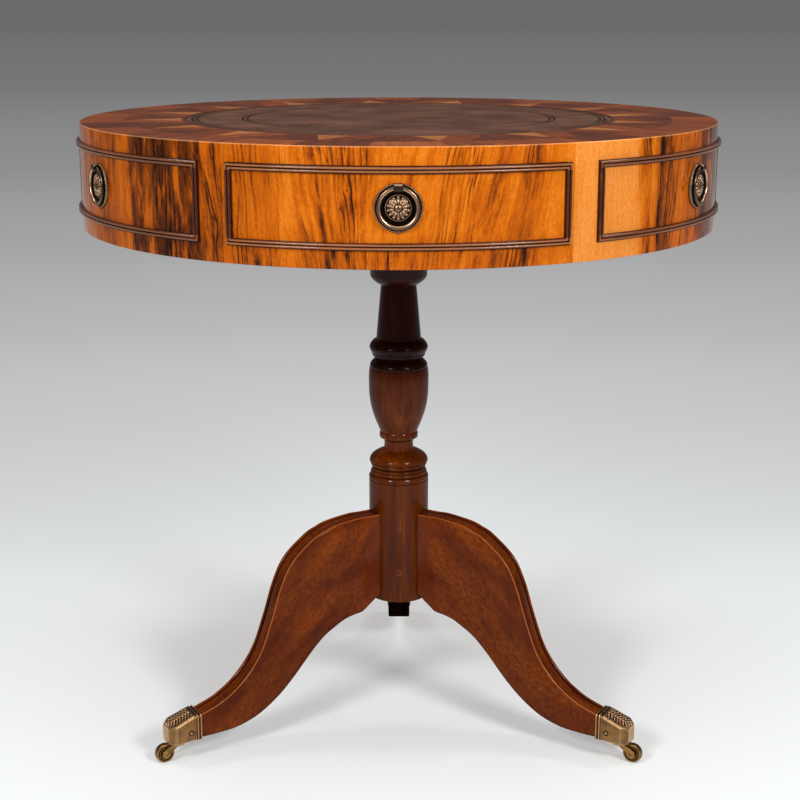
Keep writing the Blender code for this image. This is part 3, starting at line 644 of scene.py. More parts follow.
# Cheeks: flat cast arms from the neck out to a round boss at the axle
for sign in (-1, 1):
    arm = [(-NECK_BACK * 0.5, horn_top - NECK_DEPTH + 0.4 * MM), (-NECK_BACK * 0.5, horn_top - 0.5 * MM)]
    arm += [(NECK_BACK * 0.6, horn_top - 0.4 * MM), (NECK_BACK * 1.25, horn_top - 1.4 * MM)]
    for i in range(13):
        turn = math.radians(72 - 195 * i / 12)
        arm.append((trail + BOSS_RADIUS * math.cos(turn), wheel_radius + BOSS_RADIUS * math.sin(turn)))
    arm.append((trail - BOSS_RADIUS * 1.3, wheel_radius + BOSS_RADIUS * 0.2))
    arm.append((NECK_BACK * 0.55, horn_top - NECK_DEPTH + 0.2 * MM))
    ease = 0.5 * MM
    centre = Vector((sum(x for x, _ in arm) / len(arm), sum(z for _, z in arm) / len(arm)))
    layers = []
    for aside, shrink in ((gap, 0.0), (gap + CHEEK - ease, 0.0), (gap + CHEEK, ease)):
        layer = []
        for x, z in arm:
            inward = (centre - Vector((x, z))).normalized() * shrink
            layer.append((swivel_reach + x + inward.x, sign * aside, z + inward.y))
        layers.append(layer)
    lofted(shape, layers)
horn_mesh = meshed(shape, "caster_horn")

shape = bmesh.new()
tread = wheel_radius / MM
face = [(AXLE_RADIUS + 0.4, WHEEL_HALF), (4.6, WHEEL_HALF), (4.9, WHEEL_HALF - 0.9), (6.3, WHEEL_HALF - 0.9)]
face += [(6.6, WHEEL_HALF - 0.4), (7.3, WHEEL_HALF - 0.4), (7.6, WHEEL_HALF - 1.0), (8.4, WHEEL_HALF - 1.0)]
face += [(9.0, WHEEL_HALF - 0.2), (tread - 1.6, WHEEL_HALF), (tread - 0.5, WHEEL_HALF - 0.5)]
face += [(tread - 0.1, WHEEL_HALF - 1.5), (tread, WHEEL_HALF * 0.3)]
profile = in_metres(face + [(r, -h) for r, h in reversed(face)] + face[:1])
across_leg = Matrix.Translation((hub_reach, 0, wheel_radius)) @ Matrix.Rotation(math.radians(90), 4, "X")
turned(shape, profile, 56, across_leg)
wheel_mesh = meshed(shape, "caster_wheel")

shape = bmesh.new()
grip = gap / MM + CHEEK / MM + 0.3
end = [(0, grip + AXLE_HEAD_RISE), (1.2, grip + 0.95), (2.2, grip + 0.6)]
end += [(AXLE_HEAD, grip + 0.05), (AXLE_RADIUS, grip)]
profile = in_metres(end + [(r, -h) for r, h in reversed(end)])
turned(shape, profile, 24, across_leg)
axle_mesh = meshed(shape, "caster_axle")

# The same brass, never rubbed down here by the floor: olive brown and dull.
dull_brass = brass("grimy_cast_brass", "#22160a", "#63461d", "#b58a56", (0.36, 0.5))
for side, turn in LEG_TURNS.items():
    for piece, mesh, carrier in (
        ("horn", horn_mesh, "caster"), ("axle", axle_mesh, "caster"), ("wheel", wheel_mesh, "roller"),
    ):
        fitted(
            f"{side}_caster_{piece}", mesh, dull_brass, f"{side}_{carrier}", [f"{side}_{piece}"], turn
        )


# The drum's two round boards, of pine veneered on the edge with walnut. The lower one turns on
# the column's pin, and the upper one is sunk in the middle for the leather.
DRUM_STEPS = 240
RIM_ROUND = 1.4 * MM
VENEER = 0.6 * MM
top_low, top_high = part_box("top_board")
floor_low, floor_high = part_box("bottom_board")
leather_low, leather_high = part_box("leather_inset")
drum_radius = top_high.x
recess_radius = leather_high.x + JOINT_GAP
pin_bore = PIN_RADIUS * MM + 0.4 * MM


def rim_round(height, start):
    """The rounded outer edge of a board, as turned points through a quarter turn."""
    points = []
    for degrees in range(start, start + 91, 15):
        turn = math.radians(degrees)
        points.append((drum_radius - RIM_ROUND * (1 - math.cos(turn)), height + RIM_ROUND * math.sin(turn)))
    return points


profile = [(0, top_low.z), (drum_radius, top_low.z), *rim_round(top_high.z - RIM_ROUND, 0)]
profile += [(drum_radius - RIM_ROUND, top_high.z - VENEER), (recess_radius, top_high.z - VENEER)]
profile += [(recess_radius, leather_low.z - JOINT_GAP), (0, leather_low.z - JOINT_GAP)]
shape = bmesh.new()
turned(shape, profile, DRUM_STEPS)
top_mesh = meshed(shape, "top_board_core")
shape = bmesh.new()
profile = [(pin_bore, floor_low.z), *rim_round(floor_low.z + RIM_ROUND, -90)]
profile += [(drum_radius, floor_high.z), (pin_bore, floor_high.z)]
turned(shape, profile + profile[:1], DRUM_STEPS)
floor_mesh = meshed(shape, "bottom_board_core")

# Figured walnut, laid as upright leaves and French polished: honey to tobacco in streaks of every
# width, with saw-edged growth rings, inky lines, short pores and a few pin knots.
walnut, tree, shader = new_finish("french_polished_walnut_veneer")
WALNUT_TONES = [
    (0.0, "#1a0902"), (0.14, "#3a1603"), (0.28, "#642c05"), (0.42, "#8c4006"), (0.54, "#b15304"), (0.66, "#c66306"),
    (0.78, "#d87617"), (0.90, "#e28a39"), (1.0, "#ea9d57"),
]
# Where each leaf of veneer starts, in degrees round from the front, and how light it is
leaves = [
    (-180, 0.54), (-153.5, 0.46), (-147, 0.55), (-121, 0.49), (-93, 0.57), (-61, 0.50), (-34.2, 0.46), (-28.3, 0.52),
    (-19.5, 0.60), (10.6, 0.56), (27.9, 0.67), (61, 0.44), (87, 0.52), (118, 0.45), (147, 0.58), (153.5, 0.50),
]
# Lighter and darker bands round one half of the drum; the other half was cut from the same flitch
bands = [
    (-90, 0.46), (-53.5, 0.46), (-52.5, 0.58), (-49, 0.60), (-48.4, 0.24), (-45.3, 0.24), (-44.2, 0.48),
    (-42.8, 0.20), (-39.5, 0.18), (-37.5, 0.30), (-34, 0.20), (-32, 0.44), (-28, 0.55), (-20, 0.57), (-19, 0.64),
    (-15.8, 0.60), (-9, 0.52), (-5.5, 0.57), (17, 0.56), (18.5, 0.46), (21.4, 0.44), (22.2, 0.60), (28.3, 0.68),
    (41.4, 0.68), (42.8, 0.42), (44.3, 0.36), (45.2, 0.56), (47.4, 0.22), (51.8, 0.26), (52.8, 0.48), (57.5, 0.33),
    (90, 0.46),
]
# Dark veins among them: degrees round, half-width and strength
veins = [
    (-15.4, 0.20, 0.45), (-13.9, 0.22, 0.55), (-12.85, 0.26, 0.75), (-11.85, 0.26, 0.8), (-10.6, 0.20, 0.5),
    (-9.4, 0.26, 0.75), (-8.6, 0.22, 0.7), (-6.8, 0.40, 1.0), (47.0, 0.45, 0.85), (52.3, 0.30, 0.7),
]
# How strongly a band is figured, and how far its grain leans out of upright (0.5 is upright)
figured = [
    (-90, 0.8), (-54, 0.8), (-48, 1.0), (-29, 1.0), (-28, 0.55), (-17, 0.5), (-15.5, 1.0), (-6, 1.0),
    (-4, 0.8), (21.6, 0.9), (22.4, 0.4), (28, 0.35), (28.2, 0.17), (41, 0.17), (43, 1.0), (90, 1.0),
]
leaning = [
    (-90, 0.5), (-40, 0.5), (-31, 0.30), (-28, 0.42), (-20, 0.5), (-13, 0.32), (-8, 0.45), (0, 0.6), (9, 0.74),
    (20, 0.70), (27, 0.55), (28, 0.5), (42, 0.5), (50, 0.6), (70, 0.45), (90, 0.5),
]
# Pin knots: degrees round, height up the drum and reach, in millimetres
knots = [
    (-30.2, 37, 12), (-7.7, 78, 8), (-24.6, 30, 6), (54.5, 62, 16), (103, 50, 14), (160, 40, 15),
    (-128, 72, 15),
]


def by_degrees(pairs, span):
    """Ramp stops from degrees round the drum, over a span that has the front in its middle."""
    return [(degrees / span + 0.5, value) for degrees, value in pairs]


spot = add(tree, "TexCoord", out="Object")
x = add(tree, "SeparateXYZ", {"Vector": spot}, out="X")
z = x.node.outputs["Z"]
ahead = maths(tree, "MULTIPLY", x.node.outputs["Y"], -1.0)
angle = maths(tree, "ARCTAN2", x, ahead)
turn_share = ranged(tree, angle, -math.pi, math.pi)
half_share = maths(tree, "MULTIPLY_ADD", turn_share, 2.0, 0.5)
half_share = maths(tree, "FRACT", half_share)
around = maths(tree, "MULTIPLY", angle, drum_radius)
lean = add(tree, "ValToRGB", {"Fac": half_share}, stops=by_degrees(leaning, 180))
lean = maths(tree, "SUBTRACT", lean, 0.5)
rise = maths(tree, "SUBTRACT", z, (floor_low.z + top_high.z) / 2)
leant = maths(tree, "MULTIPLY", rise, lean)
sway = noise(tree, spot, (60, 60, 85), 1.0)
sway = ranged(tree, sway, 0.0, 1.0, -6 * MM, 6 * MM)
bent = maths(tree, "SUBTRACT", sway, leant)
flat = add(tree, "CombineXYZ", {"X": around, "Z": z})
pin = None
for degrees, up, size in knots:
    centre = (math.radians(degrees) * drum_radius, 0, floor_low.z + up * MM)
    offset = add(tree, "VectorMath", {0: flat, 1: centre}, operation="SUBTRACT")
    near = add(tree, "VectorMath", {0: offset, 1: per_mm(size, size, size * 1.7)}, operation="MULTIPLY")
    near = add(tree, "VectorMath", {0: near}, out="Value", operation="LENGTH")
    pull = ranged(tree, near, 1.0, 0.0, 0.0, 0.9, interpolation_type="SMOOTHERSTEP")
    aside = add(tree, "SeparateXYZ", {"Vector": offset}, out="X")
    spread = maths(tree, "MULTIPLY", aside, pull)
    bent = maths(tree, "SUBTRACT", bent, spread)
    core = ranged(tree, near, 0.20, 0.04)
    pin = core if pin is None else maths(tree, "MAXIMUM", pin, core)
grain = maths(tree, "ADD", around, bent)
grain_share = maths(tree, "MULTIPLY_ADD", grain, 1 / (math.pi * drum_radius), 0.5)
grain_share = maths(tree, "FRACT", grain_share)
leaf = add(tree, "ValToRGB", {"Fac": turn_share}, stops=by_degrees(leaves, 360),
           between="CONSTANT")
band = add(tree, "ValToRGB", {"Fac": grain_share}, stops=by_degrees(bands, 180))
strength = add(tree, "ValToRGB", {"Fac": grain_share}, stops=by_degrees(figured, 180))
# The rails under the drawers are strips of their own, darker than the leaves above them
under_drawers = [(-180, 0.0), (-147.5, 1.0), (-92.5, 0.0), (-27.6, 1.0), (27.6, 0.0), (92.5, 1.0), (147.5, 0.0)]
rail = add(tree, "ValToRGB", {"Fac": turn_share}, stops=by_degrees(under_drawers, 360),
           between="CONSTANT")
low = maths(tree, "LESS_THAN", z, floor_high.z)
rail = maths(tree, "MULTIPLY", rail, low)
depth = maths(tree, "MULTIPLY_ADD", leaf, 60.0, maths(tree, "MULTIPLY", rail, 7.0))
sheet = add(tree, "CombineXYZ", {"X": grain, "Y": depth, "Z": z})
# The middle size of each pattern on the sheet only sets the leaves apart. Shades 9 mm wide and
# streaks of 1.4 mm go further to the dark side than to the pale
broad = noise(tree, sheet, (9, 1000, 75), 4.0, Roughness=0.6)
streak = noise(tree, sheet, (1.4, 1000, 13), 3.0, Roughness=0.6)
figure = maths(tree, "MULTIPLY_ADD", broad, 1.1, -0.85)
figure = maths(tree, "MULTIPLY_ADD", streak, 0.6, figure)
pale = maths(tree, "MULTIPLY", figure, 0.45)
figure = maths(tree, "MINIMUM", figure, pale)
# Soft brown clouds
cloud = noise(tree, sheet, (14, 1000 / 3, 48), 2.0)
cloud = ranged(tree, cloud, 0.52, 0.72, 0.0, -0.2)
figure = maths(tree, "ADD", figure, cloud)
# Growth rings about 5 mm apart in clusters, each darkening to a sharp edge, some stronger than others
wave = noise(tree, sheet, (38, 1000, 160), 2.0)
wave = maths(tree, "MULTIPLY", wave, 4.0)
rings = maths(tree, "MULTIPLY_ADD", grain, 1000 / 5, wave)
ring = maths(tree, "FRACT", rings)
ring = maths(tree, "POWER", ring, 3.5)
number = maths(tree, "FLOOR", rings)
year = add(tree, "TexWhiteNoise", {"W": number}, out="Value", noise_dimensions="1D")
ring = maths(tree, "MULTIPLY", ring, year)
cluster = noise(tree, sheet, (30, 1000, 130), 2.0)
cluster = ranged(tree, cluster, 0.44, 0.60)
ring = maths(tree, "MULTIPLY", ring, cluster)
figure = maths(tree, "MULTIPLY_ADD", ring, -0.85, figure)
# The veins come and go along their length
veined = [(-90, 0.0)]
for degrees, half, dark in veins:
    veined += [(degrees - half, 0.0), (degrees, dark), (degrees + half, 0.0)]
vein = add(tree, "ValToRGB", {"Fac": grain_share}, stops=by_degrees(veined + [(90, 0.0)], 180))
gap = noise(tree, sheet, (18, 200, 36), 1.0)
gap = ranged(tree, gap, 0.38, 0.54, 0.2)
vein = maths(tree, "MULTIPLY", vein, gap)
figure = maths(tree, "MULTIPLY_ADD", vein, -0.75, figure)
# The level of the tone: leaf, band and figure, which is strongest on the rails
strength = maths(tree, "MULTIPLY_ADD", rail, 0.35, strength)
figure = maths(tree, "MULTIPLY", figure, strength)
level = maths(tree, "ADD", leaf, band)
level = maths(tree, "MULTIPLY_ADD", rail, -0.10, level)
level = maths(tree, "ADD", level, figure)
# Short flecks of 2 by 4 mm break the streaks up, also where the leaf is plain
fleck = noise(tree, sheet, (2, 1000, 4), 3.0, Roughness=0.7)
fleck = ranged(tree, fleck, 0.0, 1.0, -0.19, 0.19)
level = maths(tree, "ADD", level, fleck)
level = maths(tree, "SUBTRACT", level, 0.455)
# Orange flames lick up through the darkest wood
lick = noise(tree, sheet, (11, 500, 52), 2.0, Distortion=0.5)
lick = ranged(tree, lick, 0.5, 0.66, 0.0, 0.3)
deep = ranged(tree, level, 0.55, 0.35)
level = maths(tree, "MULTIPLY_ADD", lick, deep, level)
level = maths(tree, "MULTIPLY_ADD", pin, -0.2, level)
colour = add(tree, "ValToRGB", {"Fac": level}, stops=WALNUT_TONES)
# Inky lines: where a stretched noise crosses its middle, in the same clusters
line = noise(tree, sheet, (6, 500, 110), 2.0, Distortion=0.4)
line = maths(tree, "SUBTRACT", line, 0.5)
line = maths(tree, "ABSOLUTE", line)
line = ranged(tree, line, 0.03, 0.0, 0.0, 0.9)
faint = maths(tree, "POWER", strength, 2.0)
inky = maths(tree, "MULTIPLY", line, cluster)
inky = maths(tree, "MULTIPLY", inky, faint)
colour = tinted(tree, colour, inky, "#2a1005")
# Fibres and pores are about 0.3 mm wide, drawn 0.9 mm so that they show
fibre = noise(tree, sheet, (0.9, 1000, 9), 2.0)
pore = ranged(tree, fibre, 0.58, 0.72, 0.0, 0.35)
pore = maths(tree, "MULTIPLY", pore, faint)
colour = tinted(tree, colour, pore, "#4c1f06")
# A dark glue line of about 0.7 mm between leaves, in degrees round
SEAM = 0.108
seams = []
for degrees, _ in leaves:
    seams += [(degrees, 0.45), (degrees + SEAM, 0.0)]
seam = add(tree, "ValToRGB", {"Fac": turn_share}, stops=by_degrees(seams, 360), between="CONSTANT")
colour = tinted(tree, colour, seam, "#3a1606")
# The arris of the top is rubbed pale and carries a painted highlight
arris_rub_and_highlight = ranged(tree, z, top_high.z - RIM_ROUND, top_high.z, 0.0, 0.35)
colour = tinted(tree, colour, arris_rub_and_highlight, "#f0b87e")
surfaced(
    tree, shader, colour, fibre, 0.02 * MM, (0.34, 0.44), Specular_IOR_Level=0.05, Coat_Roughness=0.06
)
# The polish mirrors the room where the drum turns away from the eye
away = add(tree, "LayerWeight", {"Blend": 0.5}, out="Facing")
gloss = ranged(tree, away, 0.68, 0.92, 0.18, 1.0)
tree.links.new(gloss, shader.inputs["Coat Weight"])
fitted("top_board_core", top_mesh, walnut, "drum", ["top_board"])
fitted("bottom_board_core", floor_mesh, walnut, "drum", ["bottom_board"])


# The rim of the top is laid with shaped pieces of walnut on the board: an outer crossband, then
# a ring of light points between darker ones, and a dark string along the leather.
BAND_INNER = 0.86
POINTS_INNER = 0.685
POINT_TIP = 0.835
POINT_HALF = math.radians(4.3)
DARK_TIP = 0.715
DARK_HALF = math.radians(6.0)
SECTORS = 16
SECTOR_START = math.radians(7.5)
BAND_PIECES = 30
LIGHT_PIECE = 29
ARC_STEP = math.radians(1.5)
GLUE_LINE = 0.12 * MM
STRING_LOW, STRING_HIGH = 0.669, 0.676
sector = math.tau / SECTORS

shape = bmesh.new()
tone_layer = shape.faces.layers.float.new("tone")
grain_layer = shape.faces.layers.float_vector.new("grain")


def curved(share, start, end):
    """Points along a round of the top, from one turn to another."""
    steps = max(1, round(abs(end - start) / ARC_STEP))
    return [(share, start + (end - start) * i / steps) for i in range(steps + 1)]


def laid(corners, tone, grain_turn):
    """One piece of veneer from (share of the radius, turn) corners, with its tone and grain."""
    flat = [Vector((share * drum_radius * math.sin(t), -share * drum_radius * math.cos(t))) for share, t in corners]
    middle = sum(flat, Vector((0, 0))) / len(flat)
    flat = [p + (middle - p).normalized() * GLUE_LINE for p in flat]
    low = [shape.verts.new((p.x, p.y, top_high.z - VENEER)) for p in flat]
    high = [shape.verts.new((p.x, p.y, top_high.z)) for p in flat]
    faces = [shape.faces.new(low), shape.faces.new(high)]
    for i in range(len(flat)):
        j = (i + 1) % len(flat)
        faces.append(shape.faces.new((low[i], low[j], high[j], high[i])))
    for face in faces:
        face[tone_layer] = tone
        face[grain_layer] = (math.sin(grain_turn), -math.cos(grain_turn), 0)


rim_share = 1 - RIM_ROUND / drum_radius
for number in range(BAND_PIECES):
    start = SECTOR_START + math.tau * number / BAND_PIECES
    end = start + math.tau / BAND_PIECES
    tone = 0.38 + 0.10 * math.sin(2.4 * number) + 0.06 * math.sin(5.1 * number + 1)
    if number == LIGHT_PIECE:
        tone = 0.62
    laid(curved(BAND_INNER, start, end) + curved(rim_share, end, start), tone, (start + end) / 2)
for number in range(SECTORS):
    middle = SECTOR_START + sector * number
    variety = 0.06 * math.sin(3.7 * number)
    tip = [(POINT_TIP, middle)]
    laid(curved(POINTS_INNER, middle - POINT_HALF, middle + POINT_HALF) + tip, 0.80 + variety, middle)
    join = middle + sector / 2
    dark = curved(BAND_INNER, join - DARK_HALF, join + DARK_HALF) + [(DARK_TIP, join)]
    laid(dark, 0.22 + variety, join + math.radians(90))
    for sign in (-1, 1):
        edge = middle + sign * sector / 2
        half = curved(POINTS_INNER, middle + sign * POINT_HALF, edge) + [(DARK_TIP, edge)]
        half += curved(BAND_INNER, edge - sign * DARK_HALF, middle) + tip
        lean = middle + sign * math.radians(38)
        laid(half, 0.34 + 0.06 * sign + variety, lean)
    for low, high, tone in ((STRING_HIGH, POINTS_INNER, 0.25), (STRING_LOW, STRING_HIGH, -0.4)):
        start, end = middle - sector / 2, middle + sector / 2
        laid(curved(low, start, end) + curved(high, end, start), tone, middle + math.radians(90))
parquetry_mesh = meshed(shape, "top_veneers")

# Walnut veneers in several tones under a rubbed satin polish: purple-brown ground, tan points.
parquetry, tree, shader = new_finish("satin_polished_walnut_parquetry")
spot = add(tree, "TexCoord", out="Object")
tone = add(tree, "Attribute", out="Fac", attribute_name="tone")
grain = add(tree, "Attribute", out="Vector", attribute_name="grain")
along = add(tree, "VectorMath", {0: spot, 1: grain}, out="Value", operation="DOT_PRODUCT")
square = add(tree, "VectorMath", {0: grain, 1: (0, 0, 1)}, operation="CROSS_PRODUCT")
aside = add(tree, "VectorMath", {0: spot, 1: square}, out="Value", operation="DOT_PRODUCT")
depth = maths(tree, "MULTIPLY", tone, 0.2)
sheet = add(tree, "CombineXYZ", {"X": aside, "Y": depth, "Z": along})
fibre = noise(tree, sheet, (1.3, 4, 34), 3.0, Roughness=0.65)
band = noise(tree, sheet, (7, 4, 70), 2.0)
shade = add(tree, "Mix", {"Factor": 0.5, "A": band, "B": fibre})
shade = ranged(tree, shade, 0.3, 0.7, -0.22, 0.22)
level = maths(tree, "ADD", tone, shade)
colour = add(tree, "ValToRGB", {"Fac": level}, stops=[
    (0.0, "#38180d"), (0.3, "#5e2b16"), (0.55, "#87431d"), (0.9, "#9e6234"), (1.0, "#a96d3c")])
surfaced(tree, shader, colour, fibre, 0.02 * MM, (0.36, 0.48), Specular_IOR_Level=0.10)
fitted("top_veneers", parquetry_mesh, parquetry, "drum")


# The writing surface is one round of hide, pasted into the sunk middle of the top. A wheel rolled
# hot round it has left blind lines: a pair near the edge and a finer pair further in.
LEATHER_STEPS = 200
LINES = (0.644, 0.487)
LINE_DEPTH = 0.5
skin_radius = leather_high.x / MM
skin_low, skin_high = leather_low.z / MM, leather_high.z / MM
profile = [(0.0, skin_low), (skin_radius, skin_low)]
profile += [(skin_radius, skin_high - 0.5), (skin_radius - 0.6, skin_high - 0.1)]
for share in LINES:
    for offset in (2.6, -2.6):
        middle = share * drum_radius / MM + offset
        profile += [(middle + 1.7, skin_high - 0.05), (middle + 1.2, skin_high - LINE_DEPTH)]
        profile += [(middle - 1.2, skin_high - LINE_DEPTH), (middle - 1.7, skin_high - 0.05)]
profile += [(0.0, skin_high - 0.05)]
shape = bmesh.new()
turned(shape, in_metres(profile), LEATHER_STEPS)
leather_mesh = meshed(shape, "leather_skin")

# Old waxed calf: dark brown, finely pebbled, cloudy where it was handled, darker in the lines.
leather, tree, shader = new_finish("waxed_calf_leather")
spot = add(tree, "TexCoord", out="Object")
# Pebbles are about 0.8 mm, drawn 2 mm so that they show
pebbles = add(tree, "VectorMath", {0: spot, 1: per_mm(2, 2, 2)}, operation="MULTIPLY")
pebble = add(tree, "TexVoronoi", {"Vector": pebbles, "Scale": 1.0, "Randomness": 1.0}, out="Distance")
cloud = noise(tree, spot, (55, 55, 55), 5.0, Roughness=0.6)
colour = add(tree, "ValToRGB", {"Fac": cloud}, stops=[(0.32, "#45291e"), (0.5, "#553729"), (0.7, "#694636")])
sunk = add(tree, "SeparateXYZ", {"Vector": spot}, out="Z")
sunk = ranged(tree, sunk, (skin_high - 0.08) * MM, (skin_high - LINE_DEPTH) * MM, 0.0, 0.95)
colour = tinted(tree, colour, sunk, "#120906")
surfaced(tree, shader, colour, pebble, 0.08 * MM, (0.5, 0.62), Specular_IOR_Level=0.16)
fitted("leather_skin", leather_mesh, leather, "drum", ["leather_inset"])


# Six bowed fronts, cut from thick pine and veneered with the boards' own leaves: three are drawer
# fronts, and the three between them are dummies, glued between the boards.
FRONT_THICKNESS = 18 * MM
FRIEZE_THICKNESS = 15 * MM
DRAWER_GAP = 0.8 * MM
FRONTS = ["front_drawer", "right_dummy", "right_drawer", "rear_dummy", "left_drawer", "left_dummy"]
front_turns = {front: math.radians(60 * index) for index, front in enumerate(FRONTS)}
carriers = {front: front if front.endswith("drawer") else "drum" for front in FRONTS}
front_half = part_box("front_drawer_panel")[1].x


def bowed(turn, thickness, half_at):
    """The plan of a bowed front at a turn round the drum; half_at gives half its turn at a radius."""
    outline = []
    for radius, way in ((drum_radius, 1), (drum_radius - thickness, -1)):
        half = half_at(radius) * way
        steps = 40
        for i in range(steps + 1):
            t = turn - half + 2 * half * i / steps
            outline.append((radius * math.sin(t), -radius * math.cos(t)))
    return outline


for front, turn in front_turns.items():
    if front.endswith("drawer"):
        plan = bowed(turn, FRONT_THICKNESS, lambda radius: math.asin(front_half / radius))
    else:
        plan = bowed(
            turn, FRIEZE_THICKNESS, lambda radius: math.radians(60) - math.asin((front_half + DRAWER_GAP) / radius)
        )
    low, high = (corner.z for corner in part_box(f"{front}_panel"))
    if front.endswith("dummy"):
        low, high = floor_high.z, top_low.z
    shape = bmesh.new()
    lofted(shape, [[(x, y, height) for x, y in plan] for height in (low, high)])
    fitted(f"{front}_bowed", meshed(shape, f"{front}_bowed"), walnut, carriers[front],
           [f"{front}_panel"])


# Each front is framed by an applied moulding of two reeds with a quirk between them, run in dark
# mahogany, bent round the drum and mitred at the corners.
MOULDING_WIDTH = 7.5 * MM
MOULDING_PROUD = 3.5 * MM
MOULDING_FILLET = 0.5 * MM
MOULDING_BASE = 1.2 * MM
MOULDING_QUIRK = 0.7 * MM
MOULDING_LIFT = 0.6 * MM
MOULDING_STEPS = 44
moulding_low, moulding_high = (corner.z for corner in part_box("front_drawer_moulding"))
moulding_half = math.asin(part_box("front_drawer_moulding")[1].x / (drum_radius + MOULDING_LIFT))
reed = (MOULDING_WIDTH - 2 * MOULDING_FILLET) / 2
section = [(0.0, 0.0), (0.0, MOULDING_BASE)]
for number in range(2):
    for degrees in range(0, 181, 20):
        turn = math.radians(degrees)
        rise = MOULDING_BASE + (MOULDING_PROUD - MOULDING_BASE) * math.sin(turn)
        section.append((MOULDING_FILLET + reed * (number + (1 - math.cos(turn)) / 2), rise))
    if number == 0:
        section.append((MOULDING_FILLET + reed, MOULDING_QUIRK))
section += [(MOULDING_WIDTH, MOULDING_BASE), (MOULDING_WIDTH, 0.0)]


def moulding_section(share, upper):
    points = []
    for inward, rise in section:
        turn = (moulding_half - inward / drum_radius) * share
        radius = drum_radius + MOULDING_LIFT + rise
        height = moulding_high - inward if upper else moulding_low + inward
        points.append((radius * math.sin(turn), -radius * math.cos(turn), height))
    return points


# Each point keeps how far along the run it lies, so that the grain follows the frame round its mitres
shares = [2 * i / MOULDING_STEPS - 1 for i in range(MOULDING_STEPS + 1)]
shape = bmesh.new()
lofted(
    shape, [moulding_section(share, True) for share in shares]
    + [moulding_section(share, False) for share in reversed(shares)], ring=True,
)
run_layer = shape.verts.layers.float_vector.new("run")
for number, vert in enumerate(shape.verts):
    station, (inward, rise) = number // len(section), section[number % len(section)]
    vert[run_layer] = (station * 2 * moulding_half * drum_radius / MOULDING_STEPS, inward, rise)
moulding_mesh = meshed(shape, "moulding_reeded")

# Mahogany stained nearly black-red and polished; each reed carries one bright line, partly from the
# gloss and partly a painted highlight.
moulding_mahogany, tree, shader = new_finish("stained_polished_mahogany")
run = add(tree, "Attribute", out="Vector", attribute_name="run")
colour, fibre = long_grain(
    tree, run, (30, 1.5, 1.5), (70, 9, 9),
    [(0.32, "#330f04"), (0.48, "#52200a"), (0.6, "#692e0d"), (0.74, "#814017")],
)
# The crowns of the reeds are rubbed pale and carry a painted highlight along the level runs, most on
# the front drawer, which faces the lamps, and less on the uprights, which painted shade darkens; old
# polish and painted shade are near black where the reeds meet and along the edges
rise = add(tree, "SeparateXYZ", {"Vector": run}, out="Z")
crown_rub_and_highlight = ranged(tree, rise, 3.0 * MM, MOULDING_PROUD, 0.0, 0.48)
# Only the front drawer lies this far forward
FORWARD_START, FORWARD_END = -0.30, -0.335
height = add(tree, "SeparateXYZ", {"Vector": add(tree, "TexCoord", out="Object")}, out="Z")
forward = height.node.outputs["Y"]
lamp_side_highlight = ranged(tree, forward, FORWARD_START, FORWARD_END, 0.45)
crown_rub_and_highlight = maths(tree, "MULTIPLY", crown_rub_and_highlight, lamp_side_highlight)
above = maths(tree, "GREATER_THAN", height, moulding_low + MOULDING_WIDTH)
below = maths(tree, "LESS_THAN", height, moulding_high - MOULDING_WIDTH)
upright = maths(tree, "MULTIPLY", above, below)
# Painted shade on the uprights
shaded = maths(tree, "MULTIPLY", upright, 0.45)
colour = tinted(tree, colour, shaded, "#260b06")
level_run = maths(tree, "MULTIPLY_ADD", upright, -0.9, 1.0)
crown_rub_and_highlight = maths(tree, "MULTIPLY", crown_rub_and_highlight, level_run)
colour = tinted(tree, colour, crown_rub_and_highlight, "#d28a50")
edge_polish_and_shade = ranged(tree, rise, 2.3 * MM, MOULDING_BASE, 0.0, 0.9)
colour = tinted(tree, colour, edge_polish_and_shade, "#160603")
# Hollows darkened by old polish and painted shade
colour = grimed_and_shaded(tree, colour, 2, "#120503")
surfaced(
    tree, shader, colour, fibre, 0.03 * MM, (0.28, 0.4),
    Specular_IOR_Level=0.08, Coat_Weight=0.7, Coat_Roughness=0.16,
)
for front, turn in front_turns.items():
    mesh = moulding_mesh.copy()
    mesh.transform(Matrix.Rotation(turn, 4, "Z"))
    fitted(f"{front}_frame", mesh, moulding_mahogany, carriers[front], [f"{front}_moulding"])


# Each front has a cast brass ring handle: a round plate with a beaded rim, a sunk well, a rosette
# of petals round a button, and an eye at the top that the plain ring hangs in.
PLATE_RADIUS = 24.0
RING_RADIUS = 19.5
RING_TUBE = 2.2
RIM_WIDTH = 2.2
ROSETTE_RADIUS = 13.3
EYE_RADIUS = 4.4
EYE_HALF = 4.5
BEADS = 56
PETALS = 14
plate_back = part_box("front_drawer_backplate")[1].y
eye_spot = next(j["pos_m"] for j in frame["joints"] if j["name"] == "front_drawer_pull_lift")
ring_out = plate_back - eye_spot[1]
plate_middle = eye_spot[2] - RING_RADIUS * MM
facing = Matrix.Translation((0, plate_back, plate_middle)) @ Matrix.Rotation(math.radians(90), 4, "X")


def bossed(shape, place, sizes, around=12, over=8):
    """A small rounded boss on a plate: a squashed ball, placed."""
    bmesh.ops.create_uvsphere(
        shape, u_segments=around, v_segments=over, radius=MM, matrix=place @ Matrix.Diagonal((*sizes, 1))
    )


